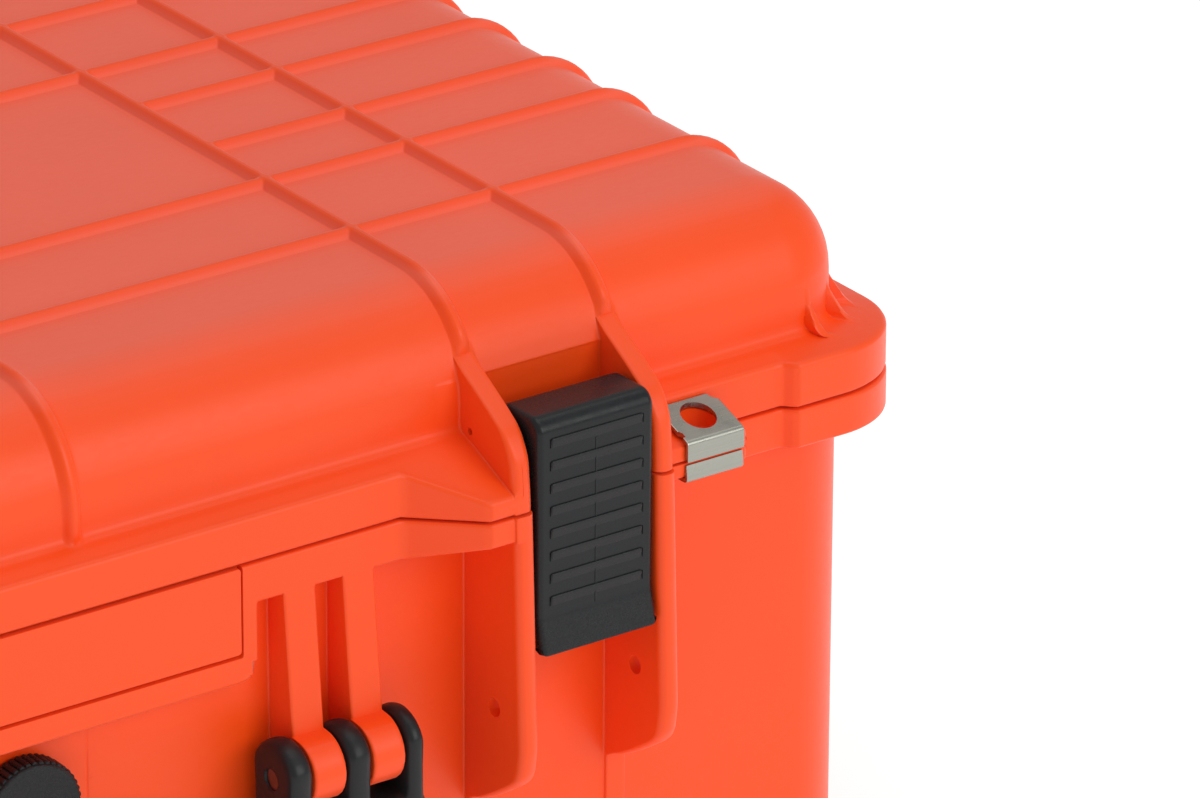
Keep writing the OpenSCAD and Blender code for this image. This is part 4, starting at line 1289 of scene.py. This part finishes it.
def pillow(low, high, corner, face, n):
    """Closed soft block. face(u, v, x, y, sign) is the height of its upper (sign 1) or its lower
    (sign -1) face over grid places u and v from -1 to 1; n is the number of mesh lines each way.
    """
    low, high = np.asarray(low, float), np.asarray(high, float)
    half = (high - low)[:2] / 2
    mid = (high + low)[:2] / 2
    lines = [np.linspace(-1, 1, count) for count in n]
    gu, gv = np.meshgrid(*(np.sin(line * math.pi / 2) * 0.35 + line * 0.65 for line in lines))
    x, y = gu * half[0], gv * half[1]
    over_x = np.clip((np.abs(x) - (half[0] - corner)) / corner, 0, 1)
    over_y = np.clip((np.abs(y) - (half[1] - corner)) / corner, 0, 1)
    px = half[0] - corner + corner * over_x * np.sqrt(1 - over_y**2 / 2)
    py = half[1] - corner + corner * over_y * np.sqrt(1 - over_x**2 / 2)
    px = np.where(over_x > 0, px, np.abs(x)) * np.sign(x)
    py = np.where(over_y > 0, py, np.abs(y)) * np.sign(y)
    upper, under = (np.stack([px + mid[0], py + mid[1], face(gu, gv, px, py, sign)], 2) for sign in (1, -1))
    ny, nx = gu.shape
    verts = np.concatenate([upper.reshape(-1, 3), under.reshape(-1, 3)])
    faces = grid_faces(ny, nx) + grid_faces(ny, nx, start=nx * ny, flip=True)
    border = [*range(nx), *(nx - 1 + nx * j for j in range(1, ny))]
    border += [*(nx * (ny - 1) + i for i in range(nx - 2, -1, -1)), *(nx * j for j in range(ny - 2, 0, -1))]
    for a, b in zip(border, border[1:] + border[:1]):
        faces.append((a + nx * ny, b + nx * ny, b, a))
    return verts, faces


def edge_fall(u, v, power=6):
    """1 in the middle of a pad and 0 at its edges, with a wide flat top."""
    return (1 - np.abs(u) ** power) ** 0.5 * (1 - np.abs(v) ** power) ** 0.5


def build_lid_foam(sizes):
    """Convoluted foam in the lid: rows of rounded peaks that press on the contents."""
    low, high = node_box("lid_foam")
    pitch, deep = sizes.foam_pitch / MM, 9.0

    def face(u, v, x, y, sign):
        if sign > 0:
            return high[2] - 15.0 * (1 - edge_fall(u, v, 10))
        wave = 0.5 + 0.5 * np.sin(2 * math.pi * x / pitch) * np.sin(2 * math.pi * y / pitch)
        fall = edge_fall(u, v, 30)
        return low[2] + 0.4 + deep * wave * fall + 3.5 * (1 - fall)

    return new_object("lid_cushion", *pillow(low, high, 17.0, face, (230, 124)))


def build_floor_pad():
    """The soft pad on the floor of the base."""
    low, high = node_box("floor_pad")

    def face(u, v, x, y, sign):
        slope = 1 - edge_fall(u, v, 40)
        if sign > 0:
            return high[2] - 0.05 - 1.6 * slope - 0.25 * (np.sin(x / 23) * np.sin(y / 17)) ** 2
        return np.full_like(u, low[2]) + 1.2 * slope

    return new_object("floor_cushion", *pillow(low, high, 12.0, face, (110, 64)))


def build_divider(side):
    """A padded divider: two fabric faces that puff between their stitched edges."""
    low, high = node_box("divider_" + side)
    mid, half = (low[0] + high[0]) / 2, (high[0] - low[0]) / 2

    def puff(u, v, x, y, sign):
        seam = smooth_step(1 - np.abs(u), 0.0, 0.05) * smooth_step(1 - np.abs(v), 0.0, 0.09)
        quilt = 0.86 + 0.14 * np.abs(np.sin(3.5 * math.pi * (u + 1) / 2 + math.pi / 4)) ** 0.4
        return mid + sign * half * (0.3 + 0.7 * seam * quilt) * 0.99

    verts, faces = pillow(low[[1, 2, 0]], high[[1, 2, 0]], 6.0, puff, (150, 84))
    return new_object("padded_divider_" + side, verts[:, [2, 0, 1]], faces)


def build_rolls():
    """Rolled gauze bandages standing in the left compartment, set out with Geometry Nodes."""
    low, high = node_box("bandage_rolls")
    r, tall = 30.0, high[2] - low[2]
    end = [(5.0, tall - 4.0), (5.6, tall - 1.2)]
    for a in np.arange(7.0, r - 1.5, 1.5):
        end += [(a, tall - 0.9), (a + 0.4, tall - 0.15 - 0.25 * math.sin(a)), (a + 0.9, tall - 0.25),
                (a + 1.3, tall - 0.95)]
    side = [(r - 0.9, tall - 0.5), (r - 0.25, tall - 1.2)]
    side += [(r - 0.25 - 0.22 * (0.5 + 0.5 * math.cos(z / 2.3)), z) for z in np.linspace(tall - 3, 3, 44)]
    profile = [(0.4, tall - 4.0)] + end + side + [(r - 0.8, 0.6), (r - 1.6, 0.0), (0.4, 0.0)]
    roll = new_object("roll", *lathe(profile[::-1], (0, 0, 0), "z", 72))
    angle = np.linspace(0.0, 1.15, 24)
    rim = np.stack([np.cos(angle), np.sin(angle)], 1)
    flap = np.concatenate([(r - 0.02) * rim, (r - 0.7) * rim[::-1]])
    flap_end = new_object("flap", *swept(flap, 1.0, tall - 1.0, 0.25, "z", 3))
    roll = joined([roll, flap_end], "roll")
    xs, ys = sorted((low[0] + r, high[0] - r)), np.linspace(low[1] + r, high[1] - r, 3)
    tree, pen, given = node_tree("set_of_rolls", (
        ("Columns", "NodeSocketInt", 2), ("Rows", "NodeSocketInt", 3), ("Width", "NodeSocketFloat", 0.068),
        ("Depth", "NodeSocketFloat", 0.148), ("Centre", "NodeSocketVector", (0, 0, 0)),
        ("Material", "NodeSocketMaterial", None)))
    grid = pen.add("GeometryNodeMeshGrid", {
        "Size X": given.outputs["Width"], "Size Y": given.outputs["Depth"],
        "Vertices X": given.outputs["Columns"], "Vertices Y": given.outputs["Rows"]})
    turn = pen.add("FunctionNodeRandomValue", {"Min": (0, 0, 0), "Max": (0, 0, FULL_TURN), "Seed": 4},
                   data_type="FLOAT_VECTOR")
    copies = pen.add("GeometryNodeInstanceOnPoints", {
        "Points": grid.outputs["Mesh"], "Rotation": turn.outputs["Value"],
        "Instance": given.outputs["Geometry"]}).outputs["Instances"]
    real = pen.add("GeometryNodeRealizeInstances", {"Geometry": copies}).outputs[0]
    moved = pen.add("GeometryNodeTransform", {"Geometry": real, "Translation": given.outputs["Centre"]})
    end_tree(pen, moved.outputs[0], given.outputs["Material"])
    return run_tree(roll, tree, {
        "Columns": 2, "Rows": 3, "Width": (xs[1] - xs[0]) * MM, "Depth": (ys[2] - ys[0]) * MM,
        "Centre": (sum(xs) / 2 * MM, float(ys.mean()) * MM, low[2] * MM),
        "Material": finish("gauze")}, "gauze_rolls")


def build_packs():
    """Wrapped dressings stacked flat: puffed middles and crimped ends."""
    low, high = node_box("dressing_packs")
    count, gap = 4, 0.4
    tall = (high[2] - low[2] - gap * (count - 1)) / count
    rng = np.random.default_rng(11)
    parts = []
    for i in range(count):
        mid, half = low[2] + i * (tall + gap) + tall / 2, tall / 2
        phase = rng.uniform(0, 6.28, 4)

        def face(u, v, x, y, sign):
            body = smooth_step(1 - np.abs(u), 0.02, 0.22) * smooth_step(1 - np.abs(v), 0.0, 0.1) ** 0.5
            crease = 0.045 * np.sin(5 * u + phase[0]) * np.sin(4 * v + phase[1])
            crease = crease + 0.03 * np.sin(13 * u + 7 * v + phase[2])
            crimp = 0.035 * np.sin(x * 2.2) * (np.abs(u) > 0.93)
            return mid + sign * half * np.clip(0.035 + crimp + body * (0.93 + crease), 0.02, 0.995)

        parts.append(pillow(low, high, 5.0, face, (84, 60)))
    return new_object("wrapped_dressings", *merged(parts))


def build_tapes():
    """Two rolls of adhesive tape, one on the other."""
    low, high = node_box("tape_rolls")
    gap = 0.4
    tall = (high[2] - low[2] - gap) / 2
    r, core = (high[0] - low[0]) / 2, 20.0
    place = ((low[0] + high[0]) / 2, (low[1] + high[1]) / 2, 0)
    parts = []
    for z0 in (low[2], low[2] + tall + gap):
        profile = [(core, z0 + 0.8), (core, z0 + tall - 0.8), (core + 0.6, z0 + tall - 0.2)]
        for a in np.arange(core + 1.4, r - 1.2, 1.6):
            profile += [(a, z0 + tall - 0.55), (a + 0.3, z0 + tall - 0.05), (a + 1.1, z0 + tall - 0.05)]
        profile += [(r - 0.5, z0 + tall - 0.1), (r, z0 + tall - 0.7), (r, z0 + 0.7), (r - 0.5, z0 + 0.1),
                    (core + 0.6, z0 + 0.1)]
        parts.append(closed_lathe(profile, place, 84))
    out = new_object("tape_reels", *merged(parts))
    fix_normals(out)
    return out


def build_bottle():
    """A squat plastic bottle with a waisted shoulder and a ring foot."""
    low, high = node_box("antiseptic_bottle")
    r, z0, z1 = (high[0] - low[0]) / 2, low[2], high[2]
    foot = [(r - 9, z0 + 2.0), (r - 6, z0 + 0.2), (r - 3, z0), (r - 1, z0 + 0.8), (r, z0 + 3.5),
            (r, z0 + 12), (r - 0.7, z0 + 14)]
    shoulder = [(r - 0.7, z1 - 42), (r, z1 - 40), (r, z1 - 34), (r - 1.2, z1 - 29), (r - 4.5, z1 - 23),
                (r - 9.5, z1 - 18.5), (13.5, z1 - 16)]
    neck = [(12.4, z1 - 14.6), (12.0, z1 - 13), (12.9, z1 - 12.4), (12.9, z1 - 11.8), (11.2, z1 - 11.2),
            (10.2, z1 - 10.4), (10.2, z1 - 0.6), (9.6, z1)]
    place = ((low[0] + high[0]) / 2, (low[1] + high[1]) / 2, 0)
    out = new_object("bottle", *lathe(foot + shoulder + neck, place, "z", 72))
    fix_normals(out)
    return out


def build_cap():
    """The bottle's ribbed cap, its ribs set round it with Geometry Nodes."""
    low, high = node_box("bottle_cap")
    r, z0, z1 = (high[0] - low[0]) / 2, low[2], high[2]
    place = ((low[0] + high[0]) / 2, (low[1] + high[1]) / 2, 0)
    profile = [(10.6, z0), (r - 0.6, z0), (r - 0.5, z0 + 0.4), (r - 0.5, z1 - 2.2), (r - 1.0, z1 - 0.9),
               (r - 2.2, z1 - 0.1), (r - 3.2, z1), (0.4, z1), (0.4, z1 - 1.5), (10.6, z1 - 1.6)]
    body = new_object("cap_body", *closed_lathe(profile, place, 72))
    fix_normals(body)
    body.data.materials.append(finish("cap"))
    round_rib = arc(r - 0.62, 0, 0.6, -180, 180, 9)[:-1]
    rib = new_object("rib", *swept(round_rib, 0.6, z1 - z0 - 2.6, 0.3, "z", 3))
    ribs = in_ring(rib, CAP_RIB_COUNT, (place[0], place[1], z0), (0, 0, 0), finish("cap"), "cap_ribs")
    return joined([body, ribs], "ribbed_cap")


def build_cold_pack():
    """A gel pack on its edge: lumpy faces and a flat welded hem."""
    low, high = node_box("cold_pack")
    mid, half = (low[1] + high[1]) / 2, (high[1] - low[1]) / 2
    phase = np.random.default_rng(5).uniform(0, 6.28, 6)

    def face(u, v, x, y, sign):
        body = (smooth_step(1 - np.abs(u), 0.06, 0.4) * smooth_step(1 - np.abs(v), 0.08, 0.5)) ** 0.6
        lump = sum(0.05 * np.sin((k + 2) * 2.1 * u + phase[k]) * np.sin((k + 1) * 2.3 * v + phase[k + 3])
                   for k in range(3))
        return mid + sign * half * np.clip(0.03 + body * (0.84 + lump), 0.02, 0.99)

    verts, faces = pillow(low[[2, 0, 1]], high[[2, 0, 1]], 8.0, face, (80, 110))
    return new_object("gel_pack", verts[:, [1, 2, 0]], faces)


# ---------------------------------------------------------------- stage


def build_floor():
    """A wide pale floor that reads as plain white."""
    half, low = 9000.0, -0.6
    corners = [(-half, -half, low), (half, -half, low), (half, half, low), (-half, half, low)]
    floor = new_object("floor", corners, [(0, 1, 2, 3)])
    material, pen, place = material_pen("studio_floor")
    tone = noise(pen, place, 1.2, 2.0)
    colour = shade(pen, (0.9, 0.9, 0.9, 1), tone.outputs["Fac"], 0.01)
    floor.data.materials.append(finished(material, pen, {
        "Base Color": colour, "Roughness": 0.9, "Specular IOR Level": 0.1,
        "Emission Color": (1, 1, 1, 1), "Emission Strength": 0.38}))


def soft_box(name, place, aim, size, power):
    """A large square light, in metres, that points from a place to an aim."""
    light = bpy.data.lights.new(name, "AREA")
    light.shape = "RECTANGLE"
    light.size, light.size_y = size
    light.energy = power
    obj = linked(name, light)
    obj.location = place
    obj.rotation_euler = (Vector(aim) - Vector(place)).to_track_quat("-Z", "Y").to_euler()


def build_lights(stage):
    """An even white surround, a broad front light and a softer one from above."""
    world = bpy.data.worlds.new("studio")
    world.use_nodes = True
    background = world.node_tree.nodes["Background"]
    background.inputs["Color"].default_value = (1, 1, 1, 1)
    background.inputs["Strength"].default_value = stage.surround
    bpy.context.scene.world = world
    bpy.context.scene.view_settings.view_transform = "Standard"
    soft_box("front_light", (0.9, -2.6, 1.5), (0.1, 0, 0.15), (1.9, 1.5), stage.front_power)
    soft_box("top_light", (0.5, -0.2, 2.4), (0.1, 0, 0.2), (1.8, 1.8), stage.top_power)


def build_camera(stage):
    """The camera: its bearing from the front, its height, its tilt and its place."""
    a, e, r = stage.bearing, stage.elevation, stage.roll
    ahead = Vector((math.sin(a) * math.cos(e), math.cos(a) * math.cos(e), -math.sin(e)))
    right = Vector((math.cos(a), -math.sin(a), 0))
    up = right.cross(ahead)
    side = right * math.cos(r) + up * math.sin(r)
    top = up * math.cos(r) - right * math.sin(r)
    camera = bpy.data.cameras.new("camera")
    camera.lens = stage.lens
    camera.sensor_width = 36.0
    camera.clip_start, camera.clip_end = 0.1, 60.0
    obj = linked("camera", camera)
    turn = Matrix((side, top, -ahead)).transposed().to_4x4()
    obj.matrix_world = Matrix.Translation(Vector(stage.place)) @ turn
    bpy.context.scene.camera = obj


# ---------------------------------------------------------------- settings, operators, panel


def number_setting(name, text, value, **more):
    """A number that a user may change."""
    return bpy.props.FloatProperty(name=name, description=text, default=value, **more)


def length_setting(name, text, value):
    """A length in metres."""
    return number_setting(name, text, value, min=0.0, unit="LENGTH", precision=4)


def angle_setting(name, text, degrees):
    """An angle, given in degrees and kept in radians."""
    return number_setting(name, text, math.radians(degrees), subtype="ANGLE")


def power_setting(name, text, value):
    """The power of a light in watts."""
    return number_setting(name, text, value, min=0.0, unit="POWER")


def colour_setting(name, text, value):
    """A colour with its alpha."""
    return bpy.props.FloatVectorProperty(name=name, description=text, default=value, size=4, min=0.0,
                                         max=1.0, subtype="COLOR")


class FirstAidSizes(bpy.types.PropertyGroup):
    rib_height: length_setting("Rib height", "How far the lid's ribs stand up", 0.0022)
    rib_width: length_setting("Rib width", "Width of a rib at its foot", 0.0054)
    setback: length_setting("Flange setback", "How far the front flange is cut back", 0.003)
    foam_pitch: length_setting("Foam pitch", "Distance between the peaks of the lid's foam", 0.03)


class FirstAidColours(bpy.types.PropertyGroup):
    shell: colour_setting("Shell", "Moulded shell, panel and catches", (0.94, 0.07, 0.001, 1))
    fittings: colour_setting("Fittings", "Latches, handle and knob", (0.0125, 0.0135, 0.0145, 1))
    rubber: colour_setting("Rubber", "Grip, seal and washer", (0.012, 0.012, 0.013, 1))
    steel: colour_setting("Steel", "Padlock plates and pins", (0.36, 0.36, 0.315, 1))
    foam: colour_setting("Foam", "Foam pads and dividers", (0.055, 0.058, 0.064, 1))
    gauze: colour_setting("Gauze", "Bandages and tape", (0.82, 0.79, 0.72, 1))
    wrapper: colour_setting("Wrapper", "Wrapped dressings", (0.72, 0.82, 0.86, 1))
    cap: colour_setting("Cap", "Bottle cap", (0.05, 0.22, 0.42, 1))
    pack: colour_setting("Cold pack", "Gel pack", (0.12, 0.36, 0.68, 1))


class FirstAidStage(bpy.types.PropertyGroup):
    bearing: angle_setting("Bearing", "Turn of the camera from straight ahead", 35.67)
    elevation: angle_setting("Elevation", "How steeply the camera looks down", 24.17)
    roll: angle_setting("Roll", "Tilt of the camera about its view", 0.29)
    lens: number_setting("Lens", "Focal length in millimetres", 277.3, min=1.0)
    place: bpy.props.FloatVectorProperty(name="Place", description="Where the camera stands",
                                         default=(-1.0498, -1.8374, 1.1136), subtype="TRANSLATION",
                                         unit="LENGTH")
    surround: number_setting("Surround", "Strength of the white surround", 0.5, min=0.0)
    front_power: power_setting("Front light", "Power of the front light", 29.0)
    top_power: power_setting("Top light", "Power of the light from above", 12.0)


class FIRSTAID_OT_shells(bpy.types.Operator):
    """Build the lid, the base and the front panel"""
    bl_idname = "firstaid.shells"
    bl_label = "Shells"

    def execute(self, context):
        sizes = context.scene.first_aid_sizes
        placed(build_lid(sizes), "lid", "shell_plastic", finish("shell"), "lid_shell")
        placed(build_base(sizes), "base", "shell_plastic", finish("shell"), "base_shell")
        placed(build_panel(), "base", "panel_plastic", finish("shell"), "name_panel")
        return {"FINISHED"}


class FIRSTAID_OT_latches(bpy.types.Operator):
    """Build the two latch levers"""
    bl_idname = "firstaid.latches"
    bl_label = "Latches"

    def execute(self, context):
        for side in ("left", "right"):
            placed(build_lever(side), "latch_" + side, "latch_plastic", finish("black"),
                   "latch_lever_" + side)
        return {"FINISHED"}


class FIRSTAID_OT_plates(bpy.types.Operator):
    """Build the steel padlock plates"""
    bl_idname = "firstaid.plates"
    bl_label = "Padlock plates"

    def execute(self, context):
        for side in ("left", "right"):
            placed(build_plate(side, 1), "lid", "plate_steel", finish("plate"), "lock_plate_upper_" + side)
            placed(build_plate(side, -1), "base", "plate_steel", finish("plate"), "lock_plate_lower_" + side)
        return {"FINISHED"}


class FIRSTAID_OT_handle(bpy.types.Operator):
    """Build the carrying handle and its sleeve"""
    bl_idname = "firstaid.handle"
    bl_label = "Handle"

    def execute(self, context):
        placed(build_handle(), "carry_handle", "handle_plastic", finish("handle"), "handle_frame")
        placed(build_grip(), "carry_handle", "grip_rubber", finish("grip"), "handle_grip")
        return {"FINISHED"}


class FIRSTAID_OT_valve(bpy.types.Operator):
    """Build the pressure valve's knob"""
    bl_idname = "firstaid.valve"
    bl_label = "Valve knob"

    def execute(self, context):
        placed(build_knob(), "vent_knob", "latch_plastic", finish("black"), "valve_knob")
        return {"FINISHED"}


class FIRSTAID_OT_padding(bpy.types.Operator):
    """Build the foam in the lid, the floor pad and the dividers"""
    bl_idname = "firstaid.padding"
    bl_label = "Padding"

    def execute(self, context):
        foam = build_lid_foam(context.scene.first_aid_sizes)
        placed(foam, "lid", "foam", finish("foam"), "lid_foam")
        pad = build_floor_pad()
        placed(pad, "base", "foam", finish("foam"), "floor_pad")
        for side in ("left", "right"):
            divider = build_divider(side)
            placed(divider, "base", "divider_fabric", finish("divider"), "divider_" + side)
        return {"FINISHED"}


class FIRSTAID_OT_supplies(bpy.types.Operator):
    """Build the bandages, dressings, tape, bottle and cold pack"""
    bl_idname = "firstaid.supplies"
    bl_label = "Supplies"

    def execute(self, context):
        placed(build_rolls(), "base", "bandage_fabric", finish("gauze"), "bandage_rolls")
        packs = build_packs()
        placed(packs, "base", "wrapper_paper", finish("wrapper"), "dressing_packs")
        placed(build_tapes(), "base", "tape_fabric", finish("tape"), "tape_rolls")
        placed(build_bottle(), "base", "bottle_plastic", finish("bottle"), "antiseptic_bottle")
        placed(build_cap(), "base", "cap_plastic", finish("cap"), "bottle_cap")
        gel = build_cold_pack()
        placed(gel, "base", "pack_plastic", finish("pack"), "cold_pack")
        return {"FINISHED"}


class FIRSTAID_OT_hardware(bpy.types.Operator):
    """Give the pins, hooks, valve parts and seal their finishes"""
    bl_idname = "firstaid.hardware"
    bl_label = "Hardware finishes"

    def execute(self, context):
        kinds = {"seal": "rubber", "washer": "rubber", "pin": "pin", "hook": "black", "valve": "black"}
        for name, obj in frame["nodes"].items():
            if name in STOOD_FOR:
                continue
            keys = [key for word, key in kinds.items() if word in name]
            if not keys:
                raise RuntimeError("no finish for " + name)
            for slot in obj.material_slots:
                slot.material = finish(keys[0])
        return {"FINISHED"}


class FIRSTAID_OT_stage(bpy.types.Operator):
    """Set up the floor, the lights and the camera"""
    bl_idname = "firstaid.stage"
    bl_label = "Stage"

    def execute(self, context):
        stage = context.scene.first_aid_stage
        build_floor()
        build_lights(stage)
        build_camera(stage)
        return {"FINISHED"}


OPERATORS = (FIRSTAID_OT_stage, FIRSTAID_OT_shells, FIRSTAID_OT_latches, FIRSTAID_OT_plates,
             FIRSTAID_OT_handle, FIRSTAID_OT_valve, FIRSTAID_OT_padding, FIRSTAID_OT_supplies,
             FIRSTAID_OT_hardware)


class FIRSTAID_PT_case(bpy.types.Panel):
    """Lists the pieces of the case and their settings"""
    bl_idname = "FIRSTAID_PT_case"
    bl_label = "First Aid Case"
    bl_space_type = "VIEW_3D"
    bl_region_type = "UI"
    bl_category = "First Aid Case"

    def draw(self, context):
        scene = context.scene
        for group in (scene.first_aid_sizes, scene.first_aid_colours, scene.first_aid_stage):
            box = self.layout.box()
            for key in group.__annotations__:
                box.prop(group, key)
        for operator in OPERATORS:
            self.layout.operator(operator.bl_idname)


SETTINGS = {"first_aid_sizes": FirstAidSizes, "first_aid_colours": FirstAidColours,
            "first_aid_stage": FirstAidStage}


def register():
    for cls in (*SETTINGS.values(), *OPERATORS, FIRSTAID_PT_case):
        bpy.utils.register_class(cls)
    for key, cls in SETTINGS.items():
        setattr(bpy.types.Scene, key, bpy.props.PointerProperty(type=cls))


def unregister():
    for key in SETTINGS:
        delattr(bpy.types.Scene, key)
    for cls in reversed((*SETTINGS.values(), *OPERATORS, FIRSTAID_PT_case)):
        bpy.utils.unregister_class(cls)


def main():
    register()
    bpy.ops.firstaid.stage()
    bpy.ops.firstaid.shells()
    bpy.ops.firstaid.latches()
    bpy.ops.firstaid.plates()
    bpy.ops.firstaid.handle()
    bpy.ops.firstaid.valve()
    bpy.ops.firstaid.padding()
    bpy.ops.firstaid.supplies()
    bpy.ops.firstaid.hardware()


if __name__ == "__main__":
    main()
